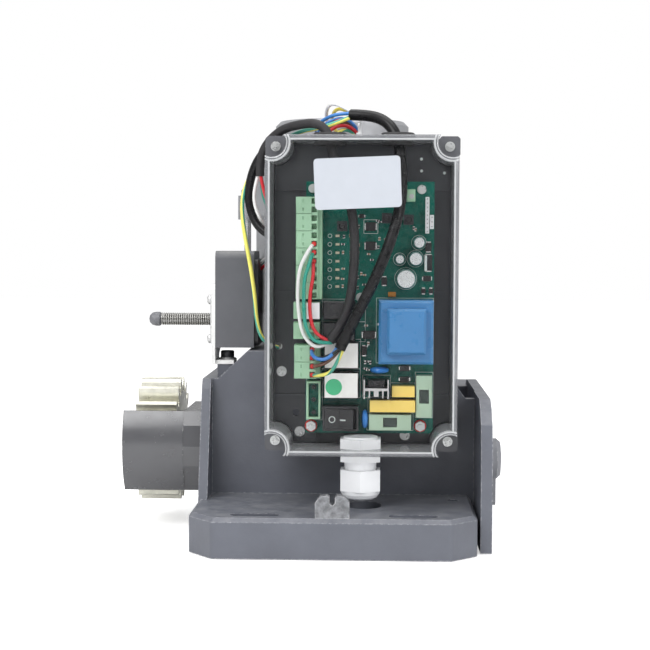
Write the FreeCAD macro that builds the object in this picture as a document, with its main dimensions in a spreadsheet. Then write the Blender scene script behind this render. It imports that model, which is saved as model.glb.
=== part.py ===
import FreeCAD, Part
import math
import os
import re

import Sketcher

from FreeCAD import Placement, Rotation, Vector

# Sliding gate operator with its weather cover off, in millimetres.
# Origin: centre of the four floor slots, on the underside of the casting.
# +Z is up, +X points to the release knob, -X to the gate and its rack,
# and the control box faces -Y.

DIMENSIONS = {
    # foot of the casting
    "foot_half_depth": 128, "foot_left": 85.5, "foot_right": 83.3, "foot_height": 23.5,
    "foot_corner": 15.5, "foot_bevel": 2.4, "floor_web": 6, "skirt": 7,
    # bolt slots in the foot
    "slot_spacing_x": 92, "slot_spacing_y": 231, "slot_length": 29, "slot_width": 9.5,
    # gear case, its outer walls and the deck that the motor stands on
    "case_front": 39, "case_back": 100, "case_left": 85, "case_right": 92.3, "case_wall": 6,
    "deck_height": 113.6, "deck_half_width": 57, "left_shoulder": 96, "right_shoulder": 84.4,
    # drive line
    "pinion_module": 4, "pinion_teeth": 18, "pinion_width": 26, "pinion_left": 128.8,
    "shaft_height": 53.5, "shaft_radius": 10, "worm_module": 1.8, "wheel_teeth": 30,
    "motor_offset": 37.5, "motor_shaft_radius": 8.5, "bearing_radius": 23.5,
    "bearing_width": 14, "small_bearing_radius": 20, "small_bearing_width": 12,
    "running_gap": 0.03,
    # motor
    "pack_radius": 57.5, "bell_radius": 63, "crown_radius": 44.5, "rotor_radius": 27,
    "air_gap": 0.5, "pack_bottom": 138, "pack_top": 194, "bell_top": 262,
    "tie_circle": 63.5, "tie_radius": 2.3,
    # control box: plan centre, half sizes and the planes it is stacked on
    "box_centre_x": 15, "box_centre_z": 150.3, "box_half_width": 56.3, "box_half_height": 93.7,
    "box_back": 58, "tray_depth": 8, "box_front": 108, "lid_wall": 2.6, "ear_radius": 6.4,
    "ear_inset": 3.9, "scallop_radius": 8.2, "board_front": 73, "board_thickness": 1.6,
    "board_left": -18.8, "board_bottom": 66.5, "board_width": 77.1, "board_height": 151.7,
    "gland_x": 14.8, "gland_depth": 84,
    # limit switch
    "limit_left": 78, "limit_right": 53.5, "limit_bottom": 115, "limit_top": 176,
    "limit_front": 33, "limit_back": 12, "spring_depth": 8, "spring_height": 131.8,
    "spring_radius": 4.1,
    # release knob
    "release_depth": 18, "release_height": 44, "release_radius": 13,
    # supply lead, motor lead and single wires
    "sheath": 6.8, "thin_sheath": 5.6, "wire": 2.2, "earth_wire": 2.6,
}

document = FreeCAD.newDocument("GateOperator")
sheet = document.addObject("Spreadsheet::Sheet", "Dimensions")
for row, (alias, size) in enumerate(DIMENSIONS.items(), start=1):
    sheet.set(f"A{row}", alias)
    sheet.set(f"B{row}", str(size))
    sheet.setAlias(f"B{row}", alias)
document.recompute()

NODES = []
BUTTONS = ((21.8, 124.9), (48.6, 129.8), (61.6, 128.9))
BOARD_FIXINGS = ((4.1, 147.4), (69.4, 147), (33, 82.1), (3.5, 4.3), (69.4, 4.6))
# where the tray of the control box is screwed to the casting, and a blank screw boss
TRAY_FIXINGS = ((-34, 102.7), (-22.8, 65.8), (41.6, 64))
EARTH_POINT = (-33, -28.5)
TURNS = {
    "Z": Rotation(),
    "X": Rotation(Vector(0, 1, 0), Vector(0, 0, 1), Vector(1, 0, 0), "ZXY"),
    "-X": Rotation(Vector(0, -1, 0), Vector(0, 0, 1), Vector(-1, 0, 0), "ZXY"),
    "Y": Rotation(Vector(-1, 0, 0), Vector(0, 0, 1), Vector(0, 1, 0), "ZXY"),
    "-Y": Rotation(Vector(1, 0, 0), Vector(0, 0, 1), Vector(0, -1, 0), "ZXY"),
}


def bound(size):
    """Expression for a size: its words become cells of the sheet."""
    return re.sub(r"[a-z][a-z_]{3,}", lambda word: "Dimensions." + word.group(), str(size))


def number(size):
    """Value of the same expression, from the sheet."""
    text = re.sub(r"[a-z][a-z_]{3,}", lambda word: f"({sheet.get(word.group())})", str(size))
    return FreeCAD.Units.parseQuantity(text).Value


def place(thing, at=(0, 0, 0), facing="Z"):
    thing.Placement = Placement(Vector(0, 0, 0), TURNS[facing])
    for letter, size in zip("xyz", at):
        thing.setExpression(f"Placement.Base.{letter}", bound(size))
    return thing


def node(thing, name):
    thing.Label = name
    NODES.append(thing)
    return thing


# ---------------------------------------------------------------- sketched bodies

def body(name, at=(0, 0, 0), facing="Z"):
    part = document.addObject("PartDesign::Body", name)
    return place(part, at, facing)


def sketch(part, plane="XY_Plane", lift=0):
    drawing = part.newObject("Sketcher::SketchObject", part.Name + "_sketch")
    base = next(item for item in part.Origin.OriginFeatures if item.Role == plane)
    drawing.AttachmentSupport = [(base, "")]
    drawing.MapMode = "FlatFace"
    drawing.setExpression("AttachmentOffset.Base.z", bound(lift))
    return drawing


def fix(drawing, geometry, point, x, y):
    """Hold one point of a sketch at x, y."""
    for kind, size in (("DistanceX", x), ("DistanceY", y)):
        index = drawing.addConstraint(
            Sketcher.Constraint(kind, -1, 1, geometry, point, number(size)))
        drawing.setExpression(f"Constraints[{index}]", bound(size))


def polygon(drawing, corners):
    """Closed outline through the corners, each held by the sheet."""
    spots = [Vector(number(x), number(y), 0) for x, y in corners]
    first = drawing.GeometryCount
    count = len(spots)
    for index in range(count):
        drawing.addGeometry(Part.LineSegment(spots[index], spots[(index + 1) % count]))
    for index in range(count):
        drawing.addConstraint(Sketcher.Constraint(
            "Coincident", first + index, 2, first + (index + 1) % count, 1))
        fix(drawing, first + index, 1, *corners[index])
    return drawing


def rectangle(drawing, left, right, low, high):
    return polygon(drawing, [(left, low), (right, low), (right, high), (left, high)])


def circle(drawing, x, y, radius):
    index = drawing.addGeometry(
        Part.Circle(Vector(number(x), number(y), 0), Vector(0, 0, 1), number(radius)))
    fix(drawing, index, 3, x, y)
    size = drawing.addConstraint(Sketcher.Constraint("Radius", index, number(radius)))
    drawing.setExpression(f"Constraints[{size}]", bound(radius))
    return drawing


def slot(drawing, x, y, length, width, along="x"):
    """Round-ended slot centred on x, y."""
    reach = f"({length} - {width}) / 2"
    middle = Vector(number(x), number(y), 0)
    arm = Vector(number(reach), 0, 0) if along == "x" else Vector(0, number(reach), 0)
    side = Vector(-arm.y, arm.x, 0).normalize() * (number(width) / 2)
    turn = math.atan2(arm.y, arm.x)
    first = drawing.GeometryCount
    for sign in (1, -1):
        centre = middle + arm * sign
        start = turn - math.pi / 2 + (0 if sign == 1 else math.pi)
        whole = Part.Circle(centre, Vector(0, 0, 1), number(width) / 2)
        drawing.addGeometry(Part.ArcOfCircle(whole, start, start + math.pi))
    drawing.addGeometry(Part.LineSegment(middle + arm + side, middle - arm + side))
    drawing.addGeometry(Part.LineSegment(middle - arm - side, middle + arm - side))
    for one, end, other, start in ((0, 2, 2, 1), (2, 2, 1, 1), (1, 2, 3, 1), (3, 2, 0, 1)):
        drawing.addConstraint(Sketcher.Constraint(
            "Tangent", first + one, end, first + other, start))
    size = drawing.addConstraint(Sketcher.Constraint("Radius", first, number(width) / 2))
    drawing.setExpression(f"Constraints[{size}]", bound(f"{width} / 2"))
    for offset, sign in ((0, "+"), (1, "-")):
        if along == "x":
            fix(drawing, first + offset, 3, f"{x} {sign} {reach}", y)
        else:
            fix(drawing, first + offset, 3, x, f"{y} {sign} {reach}")
    return drawing


def pad(part, drawing, length):
    feature = part.newObject("PartDesign::Pad", part.Name + "_pad")
    feature.Profile = drawing
    feature.setExpression("Length", bound(length))
    return feature


def pocket(part, drawing, depth):
    """Cut from the sketch along its own normal, and make sure that it did cut."""
    document.recompute()
    before = part.Shape.Volume
    feature = part.newObject("PartDesign::Pocket", part.Name + "_pocket")
    feature.Profile = drawing
    feature.Reversed = True
    feature.setExpression("Length", bound(depth))
    document.recompute()
    if part.Shape.Volume > before - 0.01:
        raise RuntimeError(f"pocket in {part.Name} cuts nothing")
    return feature


def turned(name, profile, at=(0, 0, 0), facing="Z"):
    """Turned piece: profile corners are (radius, distance along its axis)."""
    part = body(name, at, facing)
    feature = part.newObject("PartDesign::Revolution", name + "_turned")
    feature.Profile = polygon(sketch(part, "XZ_Plane"), profile)
    feature.ReferenceAxis = (feature.Profile[0], ["V_Axis"])
    feature.Angle = 360
    return part


def ring(name, inner, outer, width, at, facing="Z"):
    part = body(name, at, facing)
    drawing = circle(circle(sketch(part), 0, 0, outer), 0, 0, inner)
    pad(part, drawing, width)
    return part


def plate(name, corners, thickness, at, facing="Z", holes=()):
    """Flat moulding or blanking with an outline and round holes."""
    part = body(name, at, facing)
    drawing = polygon(sketch(part), corners)
    for x, y, radius in holes:
        circle(drawing, x, y, radius)
    pad(part, drawing, thickness)
    return part


def slab(name, width, height, thickness, at, facing="Z", holes=()):
    """Plate with a rectangular outline centred on its place."""
    corners = [(f"{sx} * ({width}) / 2", f"{sy} * ({height}) / 2")
               for sx, sy in ((-1, -1), (1, -1), (1, 1), (-1, 1))]
    return plate(name, corners, thickness, at, facing, holes)


def hexagon(name, across, height, hole, at, facing="Z"):
    corners = [(f"({across}) * {math.cos(turn) / math.sqrt(3):.6f}",
                f"({across}) * {math.sin(turn) / math.sqrt(3):.6f}")
               for turn in (math.radians(60 * step + 30) for step in range(6))]
    return plate(name, corners, height, at, facing, [(0, 0, hole)] if hole else ())


def eased(part, size, chosen, kind="Fillet"):
    """Fillet or chamfer the edges of the last feature for which chosen(edge) is true."""
    document.recompute()
    tip = part.Tip
    names = [f"Edge{index}" for index, edge in enumerate(tip.Shape.Edges, start=1)
             if chosen(edge)]
    if not names:
        raise RuntimeError(f"no edge to ease on {part.Name}")
    feature = part.newObject(f"PartDesign::{kind}", f"{part.Name}_{kind.lower()}")
    feature.Base = (tip, names)
    feature.setExpression("Radius" if kind == "Fillet" else "Size", bound(size))
    document.recompute()
    return feature


def along(axis, edge):
    """True if the edge is straight and runs along the given axis."""
    if edge.Curve.TypeId != "Part::GeomLine":
        return False
    run = edge.tangentAt(edge.FirstParameter)
    return abs(abs(getattr(run, axis)) - 1) < 1e-6


def group(name, pieces):
    """Identical or paired pieces that share one node as separate solids."""
    bundle = document.addObject("Part::Compound", name)
    bundle.Links = pieces
    return node(bundle, name)


def joined(name, pieces):
    fusion = document.addObject("Part::MultiFuse", name)
    fusion.Shapes = pieces
    fusion.Refine = True
    return fusion


def without(name, base, tool):
    piece = document.addObject("Part::Cut", name)
    piece.Base = base
    piece.Tool = tool
    return piece


def rod(name, radius, length, at, facing="Z"):
    bar = document.addObject("Part::Cylinder", name)
    bar.setExpression("Radius", bound(radius))
    bar.setExpression("Height", bound(length))
    return place(bar, at, facing)


# ---------------------------------------------------------------- casting and drive line

def base_housing():
    """Die-cast foot, niche walls and gear case in one casting, hollow underneath."""
    part = body("base_housing")
    pad(part, polygon(sketch(part), [
        ("-foot_left", "foot_half_depth - foot_corner"), ("-foot_left", "20 - foot_half_depth"),
        ("-foot_left + foot_corner", "-foot_half_depth"),
        ("foot_right - foot_corner", "-foot_half_depth"),
        ("foot_right", "foot_corner - foot_half_depth"),
        ("foot_right", "foot_half_depth - foot_corner"),
        ("foot_right - foot_corner", "foot_half_depth"),
        ("-foot_left + foot_corner", "foot_half_depth")]), "foot_height")
    eased(part, 4, lambda edge: along("z", edge))
    eased(part, "foot_bevel", lambda edge: edge.CenterOfMass.y < -108
          and edge.CenterOfMass.z > 23, "Chamfer")
    # gear case: its shoulders slope down from the deck to the side walls
    pad(part, polygon(sketch(part, "XZ_Plane", "-case_back"), [
        ("-case_left", 0), ("-case_left", "left_shoulder"), ("-75.2", "left_shoulder"),
        ("-deck_half_width", "deck_height"), ("deck_half_width", "deck_height"),
        ("80", "right_shoulder"), ("case_right", "right_shoulder"), ("case_right", 0)]),
        "case_back + case_front")
    eased(part, 5, lambda edge: along("y", edge) and edge.CenterOfMass.z > 113)
    eased(part, 7, lambda edge: along("z", edge) and edge.CenterOfMass.y > 99
          and edge.CenterOfMass.z > 30)
    # side walls of the niche: a raked gusset on the left, a deep cheek on the right
    pad(part, polygon(sketch(part, "YZ_Plane", "-case_left"), [
        (0, 20), ("-67", 20), ("-66", "foot_height"), ("-46", 90), ("-42", "left_shoulder"),
        (0, "left_shoulder")]), "case_wall - 0.3")
    pad(part, polygon(sketch(part, "YZ_Plane", "case_right - 6.8"), [
        (60, 0), ("-105", 0), ("-105", 60), ("-101", 75), ("-92", 84), ("-82", 88.7),
        (52, 88.7), (60, "right_shoulder")]), 6.8)
    eased(part, 1.6, lambda edge: along("x", edge) and edge.CenterOfMass.x > 88
          and edge.CenterOfMass.y < -80 and edge.CenterOfMass.z > 50)
    # pedestal for the limit switch bracket
    pad(part, rectangle(sketch(part, "XY_Plane", 92), -77, -66.2, -29, -11), 12.4)
    # pads that the tray of the control box is screwed to
    for x, z in TRAY_FIXINGS:
        drawing = circle(sketch(part, "XZ_Plane", "case_front - 2"), x, z, 7)
        pad(part, drawing, "box_back - case_front + 2")
    for x, z in TRAY_FIXINGS:
        pocket(part, circle(sketch(part, "XZ_Plane", "box_back - 7"), x, z, 2.05), 8)
    pocket(part, circle(sketch(part, "XY_Plane", 98), -71.4, -20, 2.55), 8)
    pocket(part, circle(sketch(part, "XY_Plane", "deck_height - 6"), *EARTH_POINT, 2.05), 8)
    # hollows under the foot, round the slot pads
    for left, right, front, back in (
            (-27, 27, "skirt - foot_half_depth", -46), (-79, -33, -98, -46), (33, 77, -98, -46)):
        pocket(part, rectangle(sketch(part), left, right, front, back),
               "foot_height - floor_web")
    # hollows under the gear case
    pocket(part, rectangle(sketch(part), -79, -24, -33, 94), 88)
    pocket(part, rectangle(sketch(part), 23, 44, -33, 94), 105)
    pocket(part, rectangle(sketch(part), -17, 16, 67, 94), 105)
    # side compartment, open at the top beside the deck
    pocket(part, rectangle(sketch(part, "XY_Plane", 8.5), 50, "case_right - 6.3", -33, 46), 110)
    # tube that carries the output shaft, then the gear chamber and the well for the worm
    pad(part, circle(sketch(part, "YZ_Plane", "-case_left + 1"), 0, "shaft_height", 29), 62)
    pad(part, circle(sketch(part, "YZ_Plane", 15), 0, "shaft_height", 29), 22)
    pocket(part, rectangle(sketch(part, "XY_Plane", 20), -17, 17, -31, 56), 100)
    pocket(part, circle(sketch(part, "XY_Plane", 12), 0, "motor_offset",
                        "small_bearing_radius"), 110)
    bore = ("YZ_Plane", "-case_left - 1")
    pocket(part, circle(sketch(part, *bore), 0, "shaft_height", "shaft_radius + 2"), 75)
    pocket(part, circle(sketch(part, *bore), 0, "shaft_height", "bearing_radius"), 16)
    pocket(part, circle(sketch(part, "YZ_Plane", 16), 0, "shaft_height", "bearing_radius"), 15)
    # release spindle bore, bolt slots, cable holes
    pocket(part, circle(sketch(part, "YZ_Plane", 80), "-release_depth", "release_height", 5), 14)
    drawing = sketch(part)
    for sx in ("-", ""):
        for sy in ("-", ""):
            slot(drawing, f"{sx}slot_spacing_x / 2", f"{sy}slot_spacing_y / 2",
                 "slot_length", "slot_width")
    pocket(part, drawing, 30)
    pocket(part, slot(sketch(part), 16.4, -78.4, 28, 22, "y"), 30)
    pocket(part, circle(sketch(part), 71.5, -58, 3.3), 30)
    return node(part, "base_housing")


def cover_lug():
    """Bare cast lug with a notch that the weather cover hooks on."""
    part = plate("cover_lug", [
        (-9.9, 0), (-9.9, 9), (-7, 12.6), (-3, 13.2), ("-1.6", 12), ("-1.6", 8.6), (0, 7.4),
        (1.6, 8.6), (1.6, 12), (3, 13.2), (7, 12.6), (9.9, 9), (9.9, 0)], 7,
        (-0.8, -118.5, "foot_height"), "-Y")
    return node(part, "cover_lug")


def pinion_guard():
    """Moulded guard: a shell in front of the pinion on a block round the shaft."""
    outer = 46
    inner = 43
    high = math.asin(21.8 / outer)
    low = math.asin(29 / outer)
    part = body("pinion_guard", (0, 0, 0))
    shell = sketch(part, "YZ_Plane", -135.2)
    centre = Vector(0, number("shaft_height"), 0)
    rims = []
    for radius, turns in ((outer, (math.pi - high, math.pi + low)),
                          (inner, (math.pi - high * outer / inner, math.pi + low))):
        rim = Part.Circle(centre, Vector(0, 0, 1), radius)
        rims.append(shell.addGeometry(Part.ArcOfCircle(rim, *turns)))
    for first, second in ((1, 1), (2, 2)):
        ends = [shell.getPoint(rims[0], first), shell.getPoint(rims[1], second)]
        line = shell.addGeometry(Part.LineSegment(*ends))
        shell.addConstraint(Sketcher.Constraint("Coincident", line, 1, rims[0], first))
        shell.addConstraint(Sketcher.Constraint("Coincident", line, 2, rims[1], second))
    for rim, radius in zip(rims, (outer, inner)):
        fix(shell, rim, 3, 0, "shaft_height")
        shell.addConstraint(Sketcher.Constraint("Radius", rim, radius))
    pad(part, shell, 38.2)
    block = sketch(part, "YZ_Plane", -97)
    polygon(block, [(21.4, 24.5), (21.4, 75.3), (-40.2, 75.3), (-44, 66.5), (-46, 53.5),
                    (-44.2, 41), (-35.8, 24.5)])
    pad(part, block, "97 - case_left")
    pocket(part, circle(sketch(part, "YZ_Plane", -98), 0, "shaft_height", 17.5), 14)
    return node(part, "pinion_guard")


def involute_flank(base, root, tip, steps):
    """Points on one flank, as (radius, polar angle) from where the involute starts."""
    start = max(base, root)
    points = []
    for step in range(steps + 1):
        radius = start + (tip - start) * step / steps
        turn = math.sqrt(max((radius / base) ** 2 - 1, 0))
        points.append((radius, turn - math.atan(turn)))
    return points


def spur_gear(teeth, module, width, bore, backlash, phase):
    """Spur gear along +X from its own origin, with involute flanks."""
    pitch = module * teeth / 2
    base = pitch * math.cos(math.radians(20))
    root = pitch - 1.25 * module
    tip = pitch + module
    flank = involute_flank(base, root, tip, 3)
    half = (math.pi * module / 2 - backlash) / (2 * pitch) + math.tan(math.radians(20)) \
        - math.radians(20)
    corners = []
    for tooth in range(teeth):
        middle = phase + 2 * math.pi * tooth / teeth
        rise = [(root, middle - half)] + [(radius, middle - half + turn)
                                          for radius, turn in flank]
        fall = [(radius, 2 * middle - turn) for radius, turn in reversed(rise)]
        corners += rise + fall
    spots = [Vector(0, radius * math.cos(turn), radius * math.sin(turn))
             for radius, turn in corners]
    outline = Part.Face(Part.makePolygon(spots + spots[:1]))
    gear = outline.extrude(Vector(width, 0, 0))
    return gear.cut(Part.makeCylinder(bore, width, Vector(0, 0, 0), Vector(1, 0, 0)))


def gear_node(name, shape, at):
    wheel = document.addObject("Part::Feature", name)
    wheel.Shape = shape
    wheel.Placement = Placement(Vector(*[number(size) for size in at]), Rotation())
    return node(wheel, name)


def drive_line():
    """Pinion, shaft, key, worm wheel and what they turn in."""
    shaft_at = ("-pinion_left - 3.2", 0, "shaft_height")
    width = number("pinion_width")
    radius = number("shaft_radius")
    pinion = spur_gear(int(number("pinion_teeth")), number("pinion_module"), width,
                       radius, 0.3, math.radians(80))
    hub = Part.makeCylinder(15.5, 5.4, Vector(width, 0, 0), Vector(1, 0, 0))
    hub = hub.cut(Part.makeCylinder(radius, 5.4, Vector(width, 0, 0), Vector(1, 0, 0)))
    gear_node("drive_pinion", pinion.fuse(hub), ("-pinion_left", 0, "shaft_height"))
    wheel = spur_gear(int(number("wheel_teeth")), number("worm_module"), 16, radius, 1.2, 0)
    boss = Part.makeCylinder(17, 30, Vector(-7, 0, 0), Vector(1, 0, 0))
    boss = boss.cut(Part.makeCylinder(radius, 30, Vector(-7, 0, 0), Vector(1, 0, 0)))
    gear_node("worm_wheel", wheel.fuse(boss), (-8, 0, "shaft_height"))
    shaft = turned("output_shaft", [
        (0, 0), ("shaft_radius - 1", 0), ("shaft_radius", 1), ("shaft_radius", 162),
        ("shaft_radius - 1", 163), (0, 163)], shaft_at, "X")
    node(shaft, "output_shaft")
    retainer = turned("pinion_retainer", [
        (0, 0), (5.5, 0), (6.5, 1), (6.5, 5), (14, 5), (14, 7.5), (0, 7.5)],
        ("-pinion_left - 10.7", 0, "shaft_height"), "X")
    node(retainer, "pinion_retainer")
    rings = [
        ring("left_bearing", "shaft_radius + running_gap", "bearing_radius", "bearing_width",
             ("-case_left + 1", 0, "shaft_height"), "X"),
        ring("right_bearing", "shaft_radius + running_gap", "bearing_radius", "bearing_width",
             (17, 0, "shaft_height"), "X")]
    group("output_bearings", rings)
    seal = turned("shaft_seal", [
        ("shaft_radius + running_gap", 0), (17.5, 0), (17.5, 7), (14, 7), (12, 4),
        ("shaft_radius + running_gap", 3)], (-95, 0, "shaft_height"), "X")
    node(seal, "shaft_seal")


def release():
    """Round release knob with a hanging lever, its key barrel and its cam spindle."""
    at = ("case_right + 2.2", "-release_depth", "release_height")
    knob = turned("knob_disc", [
        (4.5, 0), (9, 0), (9, 1), ("release_radius - 1", 1), ("release_radius", 2.4),
        ("release_radius", 6.4), ("release_radius - 2.2", 8.8), (7, 8.8), (7, 7.4), (4.5, 7.4)],
        at, "X")
    arm = plate("knob_arm", [
        (-6, -8), (-5, -27), (-3, -29.5), (3, -29.5), (5, -27), (6, -8)], 4.2,
        ("case_right + 4", "-release_depth", "release_height"), "X")
    node(joined("release_lever", [knob, arm]), "release_lever")
    barrel = turned("barrel_body", [
        (0, 0), (4.45, 0), (4.45, 7.4), (6, 7.4), (6, 8.6), (5.2, 9.4), (0, 9.4)], at, "X")
    keyway = slab("lock_keyway", 1.2, 6.5, 5, ("case_right + 7", "-release_depth",
                                              "release_height"), "X")
    node(without("lock_barrel", barrel, keyway), "lock_barrel")
    spindle = turned("spindle_bar", [
        (0, 0), (4.9, 0), (4.9, 12.7), (8, 12.7), (8, 16.2), (4.9, 16.2), (4.9, 25.2),
        (0, 25.2)], ("case_right - 23", "-release_depth", "release_height"), "X")
    cam = plate("spindle_cam", [(-4, 0), (-3, 11), (3, 11), (4, 0)], 6,
                ("case_right - 21", "-release_depth", "release_height"), "X")
    node(joined("release_spindle", [spindle, cam]), "release_spindle")


# ---------------------------------------------------------------- motor

def around_motor(radius, height, turns=(0, 90, 180, 270)):
    return [(f"{radius} * {math.cos(math.radians(turn)):.6f}",
             f"motor_offset + {radius} * {math.sin(math.radians(turn)):.6f}", height)
            for turn in turns]


def motor():
    """Vertical induction motor on the deck: bells, pack, windings, rotor and bolts."""
    axis = (0, "motor_offset")
    lower = turned("lower_bell_cup", [
        ("small_bearing_radius", 0), ("pack_radius", 0), ("pack_radius", 6),
        ("pack_radius - 2", 9), ("pack_radius - 2", 20), ("pack_radius", 22),
        ("pack_radius", 24.4), ("pack_radius - 6", 24.4), ("pack_radius - 6", 15.5),
        (25, 15.5), (25, 12.6), ("small_bearing_radius", 12.6)], (*axis, "deck_height"))
    lugs = [rod(f"lower_lug_{index}", 6.5, 10.4, place_at)
            for index, place_at in enumerate(around_motor("tie_circle", "deck_height + 14"))]
    drilled = without("lower_bell_drilled", joined("lower_bell_lugs", [lower, *lugs]),
                      tie_holes("lower", "deck_height"))
    node(drilled, "motor_lower_bell")

    upper = turned("upper_bell_dome", [
        ("pack_radius - 6", "pack_top"), ("pack_radius", "pack_top"),
        ("pack_radius", "pack_top + 3"), ("bell_radius - 2", "pack_top + 5"),
        ("bell_radius", "pack_top + 8"), ("bell_radius", "pack_top + 24"),
        ("bell_radius - 1.5", "pack_top + 31"), ("bell_radius - 5.5", "pack_top + 38"),
        ("bell_radius - 11", "pack_top + 43"), ("crown_radius + 2", "pack_top + 46"),
        ("crown_radius", "pack_top + 48"), ("crown_radius", "bell_top - 3"),
        ("crown_radius - 3", "bell_top"), (0, "bell_top"), (0, "bell_top - 6"),
        ("small_bearing_radius", "bell_top - 6"), ("small_bearing_radius", "bell_top - 20"),
        (26, "bell_top - 20"), (30, "bell_top - 10"), ("crown_radius - 6", "bell_top - 10"),
        ("pack_radius - 6", "pack_top + 34")], (*axis, 0))
    lugs = [rod(f"upper_lug_{index}", 6.5, 16, place_at)
            for index, place_at in enumerate(around_motor("tie_circle", "pack_top + 3"))]
    seats = [rod(f"bolt_seat_{index}", "tie_radius + 2.7", 20, place_at)
             for index, place_at in enumerate(around_motor("tie_circle", "pack_top + 19"))]
    drilled = without("upper_bell_drilled", joined("upper_bell_lugs", [upper, *lugs]),
                      joined("upper_bell_cuts", [tie_holes("upper", "pack_top"), *seats]))
    node(drilled, "motor_upper_bell")

    pack = ring("stator_core", "rotor_radius + air_gap", "pack_radius",
                "pack_top - pack_bottom", (*axis, "pack_bottom"))
    node(pack, "stator_core")
    ends = [turned("lower_windings", [(31, 0), (46, 0), (49, 3), (48, 7), (33, 7), (30, 3)],
                   (*axis, "pack_bottom - 7.2")),
            turned("upper_windings", [(31, 0), (48, 0), (49, 5), (44, 12), (34, 12), (30, 5)],
                   (*axis, "pack_top + 0.2"))]
    group("stator_windings", ends)
    bolts = [turned(f"tie_bolt_{index}", [
        (0, 0), (4, 0), (4, 4), ("tie_radius", 4), ("tie_radius", 89.4), (4.4, 89.4),
        (4.4, 93), (3.4, 94), (0, 94)], place_at)
        for index, place_at in enumerate(around_motor("tie_circle", "deck_height + 10"))]
    group("tie_bolts", bolts)
    bearings = [ring("lower_motor_bearing", "motor_shaft_radius + running_gap",
                     "small_bearing_radius", "small_bearing_width", (*axis, "deck_height")),
                ring("upper_motor_bearing", "motor_shaft_radius + running_gap",
                     "small_bearing_radius", "small_bearing_width",
                     (*axis, "bell_top - 20")),
                ring("worm_bearing", "motor_shaft_radius + running_gap",
                     "small_bearing_radius", "small_bearing_width", (*axis, 12))]
    group("motor_bearings", bearings)
    rotor = turned("rotor", [
        ("motor_shaft_radius", 0), (22, 0), (25, 6), ("rotor_radius", 7),
        ("rotor_radius", 47), (25, 48), (22, 54), ("motor_shaft_radius", 54)],
        (*axis, "pack_bottom + 1"))
    node(rotor, "rotor")
    shaft = turned("worm_shaft", [
        (0, 0), (7.5, 0), ("motor_shaft_radius", 1), ("motor_shaft_radius", 12.5), (12, 12.5),
        (12, 20), (8.2, 22), (8.2, 60), (12, 62), (12, 66), ("motor_shaft_radius", 66),
        ("motor_shaft_radius", 239), (7.5, 240), (0, 240)], (*axis, 12))
    node(shaft, "worm_shaft")


def tie_holes(name, height):
    return joined(f"{name}_tie_holes", [
        rod(f"{name}_tie_hole_{index}", "tie_radius + 0.2", 60, place_at)
        for index, place_at in enumerate(around_motor("tie_circle", height + " - 10"))])


def run_capacitor():
    """Motor capacitor lying in the side compartment."""
    can = turned("run_capacitor", [
        (0, 0), (12.6, 0), (14, 1.4), (14, 56), (13, 57), (13, 58), (14, 59), (14, 60),
        (12.6, 60.6), (0, 60.6)], (68, -25, 22.6), "Y")
    node(can, "run_capacitor")


# ---------------------------------------------------------------- limit switch

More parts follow.
